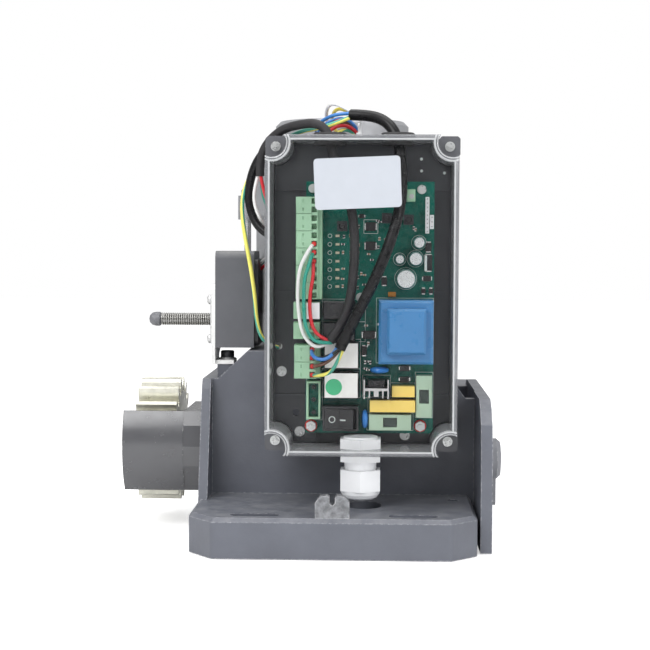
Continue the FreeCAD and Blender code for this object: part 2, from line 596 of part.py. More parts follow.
def limit_switch():
    """Spring-lever limit switch on its bracket at the gate side."""
    part = body("limit_housing")
    pad(part, rectangle(sketch(part, "XZ_Plane", "-limit_back"), "-limit_left",
                        "-limit_right", "limit_bottom", "limit_top"),
        "limit_front + limit_back")
    eased(part, 5, lambda edge: along("x", edge) and edge.CenterOfMass.z > 175)
    pocket(part, rectangle(sketch(part, "YZ_Plane", "-limit_left + 2.5"),
                           "-limit_front + 2.5", "limit_back - 2.5", "limit_bottom + 2.5",
                           "limit_top - 5.5"), 40)
    pocket(part, slot(sketch(part, "YZ_Plane", "-limit_left - 1"), "-spring_depth",
                      "spring_height", 22, 16), 5)
    post = circle(sketch(part, "XY_Plane", "limit_bottom + 2"), "4.5 - limit_left",
                  "-spring_depth", 4.4)
    pad(part, post, 7.5)
    pocket(part, circle(sketch(part, "XY_Plane", "limit_bottom + 2.3"), "4.5 - limit_left",
                        "-spring_depth", 2.55), 22)
    node(part, "limit_housing")
    cover = slab("limit_cover", "limit_front + limit_back - 4",
                 "limit_top - limit_bottom - 6", 2.4,
                 ("-limit_right", "(limit_back - limit_front) / 2",
                  "(limit_top + limit_bottom) / 2 - 2"), "X")
    eased(cover, 4, lambda edge: along("z", edge))
    node(cover, "limit_cover")
    screw_spots = ((-23, 120), (7, 120), (-23, 145), (7, 145))
    screw_holes = [(y, z, 1.65) for y, z in screw_spots]
    leg = plate("bracket_leg", [
        (-33, 104.4), (-9, 104.4), (-7, 110), (8, 115), (11, 118), (11, 152), (8, 155),
        (-30, 155), (-33, 152)], 2.4, ("-limit_left - 2.4", 0, 0), "X", screw_holes)
    pocket(leg, slot(sketch(leg, "XY_Plane", -1), "-spring_depth", "spring_height", 22, 16), 5)
    foot = slab("bracket_foot", 14, 20, 2.5, ("-limit_left + 4.6", -20, 104.4), "Z",
                ((2, 0, 2.7),))
    node(joined("limit_bracket", [leg, foot]), "limit_bracket")
    face = plate("limit_face_plate", [
        (-26, 117), (10, 117), (10, 148), (-26, 148)], 1.4,
        ("-limit_left - 3.8", 0, 0), "X", screw_holes)
    pocket(face, slot(sketch(face, "XY_Plane", -1), "-spring_depth", "spring_height", 20, 13), 4)
    node(face, "limit_face_plate")
    screws = [
        turned(f"limit_screw_{index}", [
            (0, 0), (1.5, 0), (1.5, 3.8), (3, 3.8), (3, 5), (1.8, 6), (0, 6)],
            ("-limit_left", y, z), "-X")
        for index, (y, z) in enumerate(screw_spots)]
    bolt = [
        turned("bracket_washer", [(2.7, 0), (5.4, 0), (5.4, 1), (2.7, 1)],
               (-71.4, -20, 106.9)),
        turned("bracket_cap_screw", [
            (0, 0), (2.5, 0), (2.5, 9.5), (4.3, 9.5), (4.3, 13.5), (3.7, 14), (2.1, 14),
            (2.1, 11.5), (0, 11.5)], (-71.4, -20, 98.4))]
    group("limit_fixings", screws + bolt)
    group("micro_switches", [
        slab(f"micro_switch_{index}", 6.4, 10.4, 20,
             ("-limit_left + 4", f"-spring_depth + {offset}", "spring_height"), "X")
        for index, offset in enumerate((-12.5, 12.5))])
    # the lever: a close-wound spring on a pivoting plug, with a domed tip
    at = ("-limit_left - 2", "-spring_depth", "spring_height")
    seat = 1.8
    pitch = 1.54
    coils = [(1.2, seat)]
    for coil in range(22):
        start = seat + coil * pitch
        coils += [("spring_radius - 0.7", start), ("spring_radius - 0.15", start + 0.3),
                  ("spring_radius", start + 0.77), ("spring_radius - 0.15", start + 1.24)]
    coils += [("spring_radius - 0.7", seat + 22 * pitch), (1.2, seat + 22 * pitch)]
    node(turned("limit_spring", coils, at, "-X"), "limit_spring")
    plug = turned("plug_head", [
        (0, -5), (6, -5), (6.4, 0), (5, seat), (0, seat)], at, "-X")
    core = turned("limit_core", [(0, 0), (1.15, 0), (1.15, 35.8), (0, 35.8)], at, "-X")
    pivot = rod("limit_pivot", 2.5, "spring_height + 6 - limit_bottom - 3",
                ("-limit_left + 4.5", "-spring_depth", "limit_bottom + 3"))
    neck = turned("limit_neck", [(0, 4), (4, 4), (4, 9), (0, 9)], at, "X")
    node(joined("limit_plug", [plug, core, pivot, neck]), "limit_plug")
    tip = turned("limit_tip", [
        (0, 35.8), (4, 35.8), (4.6, 36.6), (4.6, 39), (4, 41.4), (2.4, 43), (0, 43.6)],
        at, "-X")
    node(tip, "limit_tip")


# ---------------------------------------------------------------- control box

def cornered(drawing, half_width, half_height, radius, inward):
    """Rectangle about the box centre whose corners are arcs about the screw centres."""
    wide, high, size = number(half_width), number(half_height), number(radius)
    ear_x, ear_z = number("box_half_width - ear_inset"), number("box_half_height - ear_inset - 0.8")
    side = ear_z - math.sqrt(size ** 2 - (wide - ear_x) ** 2)
    end = ear_x - math.sqrt(size ** 2 - (high - ear_z) ** 2)
    first = drawing.GeometryCount
    arcs = []
    for sx, sy in ((1, 1), (-1, 1), (-1, -1), (1, -1)):
        centre = Vector(sx * ear_x, sy * ear_z, 0)
        one = math.atan2(sy * side - centre.y, sx * wide - centre.x)
        two = math.atan2(sy * high - centre.y, sx * end - centre.x)
        turns = (one, two) if (sx * sy > 0) != inward else (two, one)
        rim = Part.Circle(centre, Vector(0, 0, 1), size)
        arcs.append((drawing.addGeometry(Part.ArcOfCircle(rim, *turns)), sx, sy,
                     1 if turns[0] == one else 2))
    for index, (arc, sx, sy, side_end) in enumerate(arcs):
        following, _, _, next_side = arcs[(index + 1) % 4]
        # from a corner in the first or third quarter the outline runs along the end
        mine = 3 - side_end if sx * sy > 0 else side_end
        theirs = 3 - next_side if sx * sy > 0 else next_side
        line = drawing.addGeometry(Part.LineSegment(
            drawing.getPoint(arc, mine), drawing.getPoint(following, theirs)))
        drawing.addConstraint(Sketcher.Constraint("Coincident", line, 1, arc, mine))
        drawing.addConstraint(Sketcher.Constraint("Coincident", line, 2, following, theirs))
        drawing.addConstraint(Sketcher.Constraint(
            "Horizontal" if sx * sy > 0 else "Vertical", line))
        fix(drawing, arc, 3, f"{sx} * (box_half_width - ear_inset)",
            f"{sy} * (box_half_height - ear_inset - 0.8)")
        limit = drawing.addConstraint(Sketcher.Constraint("Radius", arc, size))
        drawing.setExpression(f"Constraints[{limit}]", bound(radius))
    corner = arcs[0]
    for point, kind, size in ((corner[3], "DistanceX", half_width),
                              (3 - corner[3], "DistanceY", half_height)):
        index = drawing.addConstraint(Sketcher.Constraint(
            kind, -1, 1, corner[0], point, number(size)))
        drawing.setExpression(f"Constraints[{index}]", bound(size))
    opposite = arcs[2]
    for point, kind, size in ((opposite[3], "DistanceX", half_width),
                              (3 - opposite[3], "DistanceY", half_height)):
        index = drawing.addConstraint(Sketcher.Constraint(
            kind, -1, 1, opposite[0], point, -number(size)))
        drawing.setExpression(f"Constraints[{index}]", bound(f"-({size})"))
    return drawing


def ear_holes(drawing, radius):
    for sx, sy in ((1, 1), (-1, 1), (-1, -1), (1, -1)):
        circle(drawing, f"{sx} * (box_half_width - ear_inset)",
               f"{sy} * (box_half_height - ear_inset - 0.8)", radius)
    return drawing


def control_box():
    """Shallow tray, gasket and deep clear lid with scalloped corners."""
    at = ("box_centre_x", "-box_back", "box_centre_z")
    eared = ("box_half_width", "box_half_height", "ear_radius", False)
    inside = ("box_half_width - lid_wall", "box_half_height - lid_wall",
              "scallop_radius + lid_wall", True)
    scalloped = ("box_half_width", "box_half_height", "scallop_radius", True)
    tray = body("box_tray", at, "-Y")
    pad(tray, cornered(sketch(tray), *eared), 2.4)
    rim = cornered(cornered(sketch(tray), *eared), *inside)
    pad(tray, rim, "tray_depth - 1")
    pocket(tray, ear_holes(sketch(tray, "XY_Plane", "tray_depth - 5"), 1.65), 6)
    for height in (63.8, 0.9, -62.4):
        pad(tray, rectangle(sketch(tray), "lid_wall - box_half_width", "box_half_width - lid_wall",
                            f"{height} - 1", f"{height} + 1"), 4)
    pad(tray, rectangle(sketch(tray), -29.4, -27.4, "lid_wall - box_half_height", -62), 4)
    standoffs = sketch(tray, "XY_Plane", 2.4)
    for x, z in BOARD_FIXINGS:
        circle(standoffs, f"board_left + {x} - box_centre_x",
               f"board_bottom + {z} - box_centre_z", 3.8)
    pocket(tray, standoffs, 2)
    holes = sketch(tray, "XY_Plane", -1)
    for x, z in TRAY_FIXINGS:
        circle(holes, f"{x} - box_centre_x", f"{z} - box_centre_z", 2.2)
    circle(holes, -40.2, -72.8, 2.2)
    circle(holes, -50.9, -32.3, 2.2)
    pocket(tray, holes, 8)
    node(tray, "box_tray")
    gasket = body("lid_gasket", ("box_centre_x", "1 - box_back - tray_depth", "box_centre_z"), "-Y")
    pad(gasket, ear_holes(cornered(cornered(sketch(gasket), *eared), *inside), 1.8), 1)
    node(gasket, "lid_gasket")
    lid = body("box_lid", ("box_centre_x", "-box_back - tray_depth", "box_centre_z"), "-Y")
    depth = "box_front - box_back - tray_depth"
    pad(lid, ear_holes(cornered(cornered(sketch(lid), *eared), *inside), 1.8), 2.8)
    pad(lid, cornered(cornered(sketch(lid), *scalloped), *inside), f"{depth} - 1")
    pad(lid, cornered(sketch(lid, "XY_Plane", f"{depth} - lid_wall"), *scalloped), "lid_wall")
    eased(lid, 1.6, lambda edge: abs(edge.CenterOfMass.z - number(depth)) < 0.01)
    # gland hole in the lower wall, grommet holes in the upper wall
    reach = "gland_depth - box_back - tray_depth"
    pocket(lid, circle(sketch(lid, "XZ_Plane", "box_half_height - 5"),
                       "gland_x - box_centre_x", reach, 10.3), 8)
    for x in (-19.3, 21):
        pocket(lid, circle(sketch(lid, "XZ_Plane", "-box_half_height - 1"), x, 14, 8), 8)
    node(lid, "box_lid")
    ear_x, ear_z = "(box_half_width - ear_inset)", "(box_half_height - ear_inset - 0.8)"
    group("lid_screws", [
        turned(f"lid_screw_{index}", [
            (0, 0), (1.6, 0), (1.6, 6), (4, 6), (4, 7.4), (2.6, 8.6), (0, 8.8)],
            (f"box_centre_x + {sx} * {ear_x}", "-box_back - tray_depth + 3.2",
             f"box_centre_z + {sz} * {ear_z}"), "-Y")
        for index, (sx, sz) in enumerate(((1, 1), (-1, 1), (-1, -1), (1, -1)))])
    screws = [
        turned(f"tray_screw_{index}", [
            (0, 0), (2, 0), (2, 8.4), (4.2, 8.4), (4.2, 10), (2.8, 11), (0, 11.2)],
            (x, "6 - box_back", z), "-Y")
        for index, (x, z) in enumerate(TRAY_FIXINGS)]
    earth = turned("earth_screw", [
        (0, -5), (2, -5), (2, 0), (5, 0), (5, 0.8), (3.6, 0.8), (3.6, 3.4), (0, 3.4)],
        (*EARTH_POINT, "deck_height"))
    group("casting_screws", [*screws, earth])
    group("grommets", [
        turned(f"grommet_{index}", [
            (6, 0), (9.6, 0), (9.6, 1.9), (7.9, 1.9), (7.9, 4.9), (10.6, 4.9), (10.6, 6.2),
            (9.4, 7.4), (8.4, 7.4), (6, 5)],
            (f"box_centre_x + {x}", "-box_back - tray_depth - 14",
             "box_centre_z + box_half_height - lid_wall - 2.1"))
        for index, x in enumerate((-19.3, 21))])


def gland():
    """Plastic cable gland through the lower wall of the lid."""
    wall = "box_centre_z - box_half_height"
    at = ("gland_x", "-gland_depth")
    nut = hexagon("gland_locknut", 24, 5.6, 10.25, (*at, f"{wall} + lid_wall"))
    node(nut, "gland_locknut")
    thread = turned("gland_thread", [
        (6.6, -18), (8.4, -18), (8.4, -13), (9.6, -12), (9.6, -5), (10.2, -5), (10.2, 9.4),
        (6.6, 9.4)], (*at, wall))
    collar = hexagon("gland_collar", 23.6, 5.4, 9, (*at, f"{wall} - 5.4"))
    node(joined("gland_body", [thread, collar]), "gland_body")
    skirt_piece = hexagon("gland_cap_hexagon", 23.6, 12.6, 10.2, (*at, f"{wall} - 22.8"))
    dome = turned("gland_cap_dome", [
        (6.4, -28.2), (7.6, -28.2), (10, -27), (11.4, -25), (11.8, -22.8), (10.2, -22.8),
        (10.2, -24), (6.4, -24)], (*at, wall))
    node(joined("gland_cap", [skirt_piece, dome]), "gland_cap")
    seal = turned("gland_seal", [
        (5.4, -23.8), (9.6, -23.8), (9.6, -20), (8.2, -18.2), (5.4, -18.2)], (*at, wall))
    node(seal, "gland_seal")


# ---------------------------------------------------------------- circuit board

def on_board(x, z, lift=0):
    return (f"board_left + {x}", f"-board_front - {lift}", f"board_bottom + {z}")


def terminal_block(name, x, z, poles):
    """Pluggable screw terminal block: wire mouths in front, screw wells beside them."""
    length = 5.08 * poles
    part = body(name, on_board(x, z), "-Y")
    pad(part, rectangle(sketch(part), -7.8, 7.8, -length / 2, length / 2), 11)
    pad(part, rectangle(sketch(part), -7.8, 4.2, -length / 2 + 0.2, length / 2 - 0.2), 15)
    mouths = sketch(part, "XY_Plane", 3)
    wells = sketch(part, "XY_Plane", 12)
    for pole in range(poles):
        middle = 5.08 * (pole + 0.5) - length / 2
        rectangle(mouths, 4.4, 7.4, middle - 1.7, middle + 1.7)
        circle(wells, 1, middle, 1.7)
    pocket(part, mouths, 10)
    pocket(part, wells, 4)
    return part


def board():
    """Printed board on standoffs, with everything that stands on it."""
    plate_at = ("board_left", "board_thickness - board_front", "board_bottom")
    node(plate("circuit_board", [
        (0, 0), ("board_width - 2", 0), ("board_width", 2), ("board_width", "board_height"),
        (0, "board_height")],
        "board_thickness", plate_at, "-Y", [(x, z, 1.7) for x, z in BOARD_FIXINGS]),
        "circuit_board")
    back = "board_front - board_thickness - box_back - 2.4"
    pieces = []
    for index, (x, z) in enumerate(BOARD_FIXINGS):
        pieces.append(ring(
            f"standoff_{index}", 1.5, 3.2, back,
            (f"board_left + {x}", "-box_back - 2.4", f"board_bottom + {z}"), "-Y"))
        top = (2.6, 1.4, 1.6, 2) if index < 3 else (2.8, 0.8, 1.4, 4.2)
        pieces.append(turned(f"board_screw_{index}", [
            (0, -7), (1.4, -7), (1.4, 0), (2.8, 0), top[:2], (top[2], top[1] + 0.1), top[2:],
            (0, top[3])], on_board(x, z), "-Y"))
    for index, (x, z) in enumerate(BOARD_FIXINGS[3:]):
        pieces.append(hexagon(f"board_nut_{index}", 5.5, 2.4, 1.5, on_board(x, z, 0.9), "-Y"))
    group("board_fixings", pieces)
    blocks = [
        terminal_block("terminal_twelve_pole", 2.4, 111.7, 12),
        terminal_block("terminal_two_pole", 1.2, 74.5, 2),
        terminal_block("terminal_second_two_pole", 1.2, 62.6, 2),
        terminal_block("terminal_four_pole", 1.6, 44, 4),
        slab("aerial_terminal", 5, 7.2, 9, on_board(62.8, 143.2), "-Y")]
    header = slab("mains_header_body", 8.4, 22.8, 8.5, on_board(5.2, 20.5), "-Y")
    pocket(header, rectangle(sketch(header, "XY_Plane", 1.5), -3, 3, -10.2, 10.2), 8)
    pins = [slab(f"mains_pin_{index}", 1.2, 1.2, 5.5, on_board(5.2, 20.5 + 7.5 * index, 1.5),
                 "-Y") for index in (-1, 0, 1)]
    blocks.append(joined("mains_header", [header, *pins]))
    group("terminal_blocks", blocks)
    relays = []
    for x, z, wide, high, tall in ((20.5, 74.8, 19.1, 10.8, 15), (20.5, 61.8, 19.1, 10.8, 15),
                                   (22, 48, 20.6, 15.6, 16), (22, 30.2, 20.6, 15.6, 16)):
        relay = slab(f"relay_{len(relays)}", wide, high, tall, on_board(x, z), "-Y")
        eased(relay, 0.6, lambda edge, top=tall - 0.1: edge.CenterOfMass.z > top, "Chamfer")
        relays.append(relay)
    group("relays", relays)
    core = slab("transformer_base", 32.3, 37.8, 20, on_board(60.2, 62.2), "-Y")
    top = slab("transformer_top", 23, 27, 27.5, on_board(60.4, 62.9), "-Y")
    for piece, level in ((core, 19.9), (top, 27.4)):
        eased(piece, 1.5, lambda edge, level=level: edge.CenterOfMass.z > level, "Chamfer")
    node(joined("transformer", [core, top]), "transformer")
    films = [slab("film_capacitor_small", 13.5, 6.5, 11, on_board(59, 26.3), "-Y"),
             slab("film_capacitor_large", 27, 7, 12.5, on_board(52.6, 17.6), "-Y")]
    discs = [
        turned(f"varistor_{index}", [
            (0, -1.8), (3.4, -1.8), (5.2, -1.1), (5.7, 0), (5.2, 1.1), (3.4, 1.8), (0, 1.8)],
            on_board(x, z, 5.7), facing)
        for index, (x, z, facing) in enumerate(((36.2, 9.3, "X"), (44.7, 38.8, "Z")))]
    group("suppressors", films + discs)
    holders = []
    for index, (x, z, wide, high) in enumerate(((51.2, 7.6, 25.1, 9.4), (71.4, 23.3, 9.4, 25.1))):
        holder = slab(f"fuse_holder_{index}", wide, high, 10, on_board(x, z), "-Y")
        window = (-4.2, 4.2, -2.9, 2.9) if wide > high else (-2.9, 2.9, -4.2, 4.2)
        pocket(holder, rectangle(sketch(holder, "XY_Plane", 1.6), *window), 10)
        holders.append(holder)
    fuses = [rod("fuse_0", 2.5, 7.8, on_board(47.3, 7.6, 5), "X"),
             rod("fuse_1", 2.5, 7.8, on_board(71.4, 19.4, 5))]
    group("fuse_holders", holders + fuses)
    cans = ((67.9, 115.2, 3.7, 12), (56.4, 105.2, 3.1, 11), (65.9, 105.5, 4.3, 13),
            (60.1, 93.6, 5.9, 17))
    group("electrolytic_capacitors", [
        turned(f"electrolytic_{index}", [
            (0, 0), (radius, 0), (radius, 1.4), (radius - 0.4, 1.8), (radius, 2.2),
            (radius, tall - 0.6), (radius - 0.6, tall), (0, tall)], on_board(x, z), "-Y")
        for index, (x, z, radius, tall) in enumerate(cans)])
    # a web with a deep channel at each end, three short fins, and the transistor on its back
    fins = []
    for middle, half, tip in ((-4, 0.4, -5.2), (0, 1.4, -4.4), (4, 0.4, -5.2)):
        fins += [(middle - half, -1), (middle - half, tip), (middle + half, tip),
                 (middle + half, -1)]
    sink = plate("sink_profile", [
        (-7.5, 5.7), (-7.5, -5.7), (-6.7, -5.7), (-6.7, -1), *fins, (6.7, -1), (6.7, -5.7),
        (7.5, -5.7), (7.5, 5.7), (6.7, 5.7), (6.7, 0.6), (-6.7, 0.6), (-6.7, 5.7)], 18,
        on_board(42.8, 28.2), "-Y")
    transistor = slab("power_transistor", 10, 4.4, 15, on_board(42.8, 31), "-Y")
    group("heat_sink", [sink, transistor])
    for index, (x, z) in enumerate(BUTTONS, start=1):
        base = slab(f"tact_base_{index}", 6, 6, 3.6, on_board(x, z), "-Y")
        pocket(base, circle(sketch(base, "XY_Plane", 1), 0, 0, 2), 5)
        button = turned(f"tact_button_{index}", [
            (0, 1.5), (1.75, 1.5), (1.75, 5), (1.5, 5.3), (0, 5.3)], on_board(x, z), "-Y")
        node(button, f"tact_button_{index}")
    group("tact_bases", [document.getObject(f"tact_base_{index}") for index in (1, 2, 3)])
    frame = slab("rocker_frame", 21.3, 14.8, 12, on_board(21.5, 9.8), "-Y")
    pocket(frame, rectangle(sketch(frame, "XY_Plane", 3), -9.7, 9.7, -6.1, 6.1), 12)
    pocket(frame, circle(sketch(frame, "XZ_Plane", -8), 0, 8.2, 1.03), 16)
    node(frame, "rocker_frame")
    corners = ((-8.7, -5.6), (0, -3.8), (8.7, -5.6), (8.5, 1), (4, 3), (-4, 3), (-8.5, 1))
    lean = math.radians(-9)
    at = ("board_left + 21.5", "-board_front - 8.2", "board_bottom + 3.95")
    key = plate("rocker_key", [
        (round(x * math.cos(lean) - y * math.sin(lean), 3),
         round(x * math.sin(lean) + y * math.cos(lean), 3)) for x, y in corners], 11.7, at)
    pin = rod("rocker_pin", 1, 14, (*at[:2], "board_bottom + 2.8"))
    node(joined("rocker", [key, pin]), "rocker")


# ---------------------------------------------------------------- wiring

def tube(name, radius, points):
    """Round lead: straight runs joined by tangent arcs, each as large as its runs allow."""
    spots = [Vector(*[number(size) for size in point]) for point in points]
    edges = []
    tightest = math.inf
    last = spots[0]
    for before, corner, after in zip(spots, spots[1:], spots[2:]):
        inward = (before - corner).normalize()
        outward = (after - corner).normalize()
        turn = math.pi - inward.getAngle(outward)
        reach = 0.45 * min((before - corner).Length, (after - corner).Length)
        bend = reach / math.tan(turn / 2)
        tightest = min(tightest, bend)
        start = corner + inward * reach
        end = corner + outward * reach
        half = (inward + outward).normalize()
        middle = corner + half * (bend / math.cos(turn / 2) - bend)
        edges.append(Part.LineSegment(last, start).toShape())
        edges.append(Part.Arc(start, middle, end).toShape())
        last = end
    edges.append(Part.LineSegment(last, spots[-1]).toShape())
    path = Part.Wire(edges)
    first = (spots[1] - spots[0]).normalize()
    section = Part.Wire(Part.makeCircle(radius, spots[0], first))
    pipe = path.makePipeShell([section], True, False)
    length = path.Length
    wanted = math.pi * radius ** 2 * length
    print(f"{name}: length {length:.0f} mm, tightest bend {tightest:.1f} mm, "
          f"volume {pipe.Volume / wanted:.4f} of section times length")
    if abs(pipe.Volume / wanted - 1) > 0.01:
        raise RuntimeError(f"lead {name} has a wrong volume")
    lead = document.addObject("Part::Feature", name)
    lead.Shape = pipe
    return lead


MOTOR_LEAD = (
    (7.5, -61, 259), (19, -66, 258.5), (29.5, -74, 254), (35.6, -79.5, 245), (37.6, -83, 232),
    (38.6, -89, 217), (37.6, -93, 203), (34, -96, 189), (28, -98, 172), (20.5, -98.3, 155),
    (11, -98.3, 137), (2.5, -97.6, 119))
LIMIT_LEAD = (
    (-48.8, -45, 222.6), (-49, -46, 233), (-44, -50, 243), (-34, -59, 250.7),
    (-22, -69, 252.8), (-11.5, -76.5, 252.8), (-5.2, -79.7, 246.6), (-3.2, -81, 236),
    (2, -85.5, 223), (7.5, -89.5, 208), (10.4, -91, 192), (10.9, -91.3, 176),
    (10, -91.3, 161), (8.3, -91.3, 147), (4, -91.6, 134), (-3.5, -93.5, 123))
EARTH_WIRE = (
    (7, -62.1, 257.3), (-2, -65, 253.5), (-12, -65.5, 250.5), (-23, -61.5, 249),
    (-34, -51.5, 244.5), (-45, -42, 236.5), (-51.5, -39, 228.5), (-57, -40, 220.5),
    (-60.3, -41.5, 209), (-60, -42.3, 195.5), (-57.4, -42.3, 180), (-54.4, -42.3, 164),
    (-52.2, -42.3, 148), (-51.2, -42, 133), (-48.5, -41, 122.5), (-43.5, -37.4, 117.4),
    (-38.2, -33, 115.3))
SINGLE_WIRES = {
    "inner_wires": {
        "limit_white": (
            (-3.5, -92.2, 123), (-8.5, -95, 119.8), (-14.5, -96, 121), (-19.8, -95, 128),
            (-22.2, -93.5, 140), (-22.8, -92.5, 153.5), (-21.8, -92, 166), (-18, -92.3, 174),
            (-11.8, -91.5, 180), (-10.5, -82.8, 180.7)),
        "limit_green": (
            (-2.6, -94.2, 122.4), (-8, -98, 122.5), (-14, -98.5, 124.5), (-18.3, -97, 133),
            (-19, -96, 147), (-18.8, -94.5, 160), (-16, -93.6, 168.3), (-11.6, -91.3, 175.4),
            (-10.5, -83, 175.7)),
        "limit_red": (
            (-4.4, -94.2, 123.6), (-9.5, -96.6, 126), (-14, -95.5, 131.5), (-15.6, -94.3, 142),
            (-15.2, -93.2, 153), (-13.4, -92.6, 161.8), (-10.9, -91, 170),
            (-10.5, -82.8, 170.6)),
        "motor_blue": (
            (0.9, -97.6, 119.7), (-4.2, -95.6, 117), (-10.9, -92, 117.9),
            (-11.3, -84, 118.1)),
        "motor_black": (
            (2.5, -99.4, 119), (-3.8, -98.6, 114.2), (-10.9, -92.9, 112.9),
            (-11.3, -83.8, 113)),
        "motor_brown": (
            (2.5, -95.8, 119), (-2.6, -94, 111.6), (-10.6, -92.6, 107.7), (-11.3, -83.8, 108)),
        "motor_earth": (
            (4.1, -97.6, 118.3), (0.8, -97.4, 110.5), (-3.6, -96.8, 104),
            (-10.6, -92.4, 102.5), (-11.3, -83.8, 102.9))},
    "outer_wires": {
        "crown_white": (
            (7.5, -61, 261.1), (0.5, -58.5, 265.5), (-5.5, -52, 266.5), (-8, -43, 263),
            (-8, -34, 258), (-7, -25, 254.5), (-6, -16, 252.8), (-5.5, -7.4, 252.5)),
        "crown_yellow": (
            (8.3, -59.2, 259.7), (2.5, -55, 263.5), (-2.5, -48, 263.2), (-4.4, -39, 259.5),
            (-3.8, -30, 255), (-2.5, -21, 252), (-1.6, -13.5, 250.8), (-1.2, -7.4, 250.5)),
        "crown_blue": (
            (6.7, -62.8, 259.7), (-1, -61.5, 259.5), (-8.5, -57.5, 256.8),
            (-13.5, -49.5, 253.5), (-14.6, -39.5, 251), (-13.2, -29.5, 249.6),
            (-11, -20, 249.2), (-9.6, -12, 249), (-9, -6.6, 249)),
        "crown_red": (
            (8, -59.9, 257.3), (1.5, -56, 256.5), (-4, -49.5, 255), (-7, -41, 253),
            (-7.6, -32, 249.5), (-6.6, -23, 246.8), (-5, -15, 246), (-4.2, -7.4, 246)),
        "switch_white": (
            (-50.1, -45, 222.6), (-52.6, -45.3, 214), (-52.3, -44.8, 204.5),
            (-48.6, -43, 195.5), (-45.4, -37, 187), (-44.4, -28, 179.5), (-45.3, -18.5, 172),
            (-51.1, -12, 168.5)),
        "switch_green": (
            (-48.2, -43.9, 222.6), (-48, -42.4, 213.5), (-45.2, -39.5, 204.5),
            (-42.6, -33, 196.5), (-41, -24, 189), (-41.2, -14.5, 181.5), (-44.5, -7, 174),
            (-51.1, -3.5, 168)),
        "switch_red": (
            (-48.2, -46.1, 222.6), (-46.6, -46.8, 213.5), (-43.2, -44.5, 204.5),
            (-40.4, -38.5, 196), (-38.8, -30, 187.5), (-39.4, -20.5, 178), (-43.2, -12.5, 170),
            (-51.1, -8, 164.5))},
}


def wiring():
    """Leads and single wires along their real routes."""
    node(tube("motor_lead", number("sheath") / 2, MOTOR_LEAD), "motor_lead")
    node(tube("limit_lead", number("thin_sheath") / 2, LIMIT_LEAD), "limit_lead")
    node(tube("earth_wire_run", number("earth_wire") / 2, EARTH_WIRE), "earth_wire")
    for name, routes in SINGLE_WIRES.items():
        group(name, [tube(f"{name}_{colour}", number("wire") / 2, route)
                     for colour, route in routes.items()])


# ---------------------------------------------------------------- build and export

def export():
    """Check every object and every node's shape, then write one STEP file per node."""
    document.recompute()
    faults = [item.Name for item in document.Objects
              if {"Invalid", "Error"} & set(item.State)]
    labels = [thing.Label for thing in NODES]
    faults += [label for label in labels if labels.count(label) > 1]
    for thing in NODES:
        shape = thing.Shape
        if shape.isNull() or not shape.isValid() or shape.Volume < 1:
            faults.append(thing.Label)
    if faults:
        raise RuntimeError("these failed: " + ", ".join(faults))
    os.makedirs("parts", exist_ok=True)
    for thing in NODES:
        thing.Shape.exportStep(f"parts/{thing.Label}.step")
    box = Part.makeCompound([thing.Shape for thing in NODES]).BoundBox
    print(f"{len(NODES)} nodes, {box.XLength:.1f} x {box.YLength:.1f} x {box.ZLength:.1f} mm")


base_housing()
cover_lug()
pinion_guard()
drive_line()
release()
motor()
run_capacitor()
limit_switch()
control_box()
gland()
board()
wiring()
export()
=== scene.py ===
"""Looks for a sliding gate motor with its weather cover off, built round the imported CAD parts.

The part's frame is the CAD frame: metres, +Z up, +X towards the release knob, and the control
box faces -Y. Sizes below are in millimetres and are scaled by MM where they meet Blender.
"""

import logging
import math
import random
from collections.abc import Iterable, Sequence
from dataclasses import dataclass
from enum import Enum

import bmesh
import bpy
from mathutils import Matrix, Vector


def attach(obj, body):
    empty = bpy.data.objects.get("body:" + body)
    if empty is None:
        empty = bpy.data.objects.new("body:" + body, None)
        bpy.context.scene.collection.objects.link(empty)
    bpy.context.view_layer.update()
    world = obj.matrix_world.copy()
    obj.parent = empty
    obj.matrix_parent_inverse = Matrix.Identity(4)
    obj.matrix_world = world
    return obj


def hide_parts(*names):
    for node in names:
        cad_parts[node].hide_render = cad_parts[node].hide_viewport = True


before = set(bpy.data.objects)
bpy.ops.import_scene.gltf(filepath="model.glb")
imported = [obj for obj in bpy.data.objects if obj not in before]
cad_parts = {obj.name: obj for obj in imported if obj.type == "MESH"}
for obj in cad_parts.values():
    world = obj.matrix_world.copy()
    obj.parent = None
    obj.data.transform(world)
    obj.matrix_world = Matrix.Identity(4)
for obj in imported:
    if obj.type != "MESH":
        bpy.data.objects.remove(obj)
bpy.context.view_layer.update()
MM = 0.001
LOG = logging.getLogger("gate_motor")

Point = tuple[float, float, float]
Colour = tuple[float, float, float]
FRONT: Point = (0, -1, 0)


# ---------------------------------------------------------------- finishes

class Pattern(Enum):
    """Surface patterns that a finish can carry besides its mottling."""

    PLAIN = "plain"
    BRUSHED = "brushed"
    CAST = "cast"
    STRIPED = "striped"


@dataclass(frozen=True)
class Zone:
    """A box in the part's frame, in millimetres, that has a colour of its own; on the clear lid
    these boxes hold a painted grey band and painted highlight lines.

    Attributes:
        low: Its lower corner.
        high: Its upper corner.
        colour: Colour inside it.
        alpha: Alpha inside it, for a clear finish.
        radius: Where given, only what lies this near to the box's middle line along Y.
    """

    low: Point
    high: Point
    colour: Colour
    alpha: float = 1.0
    radius: float = 0.0


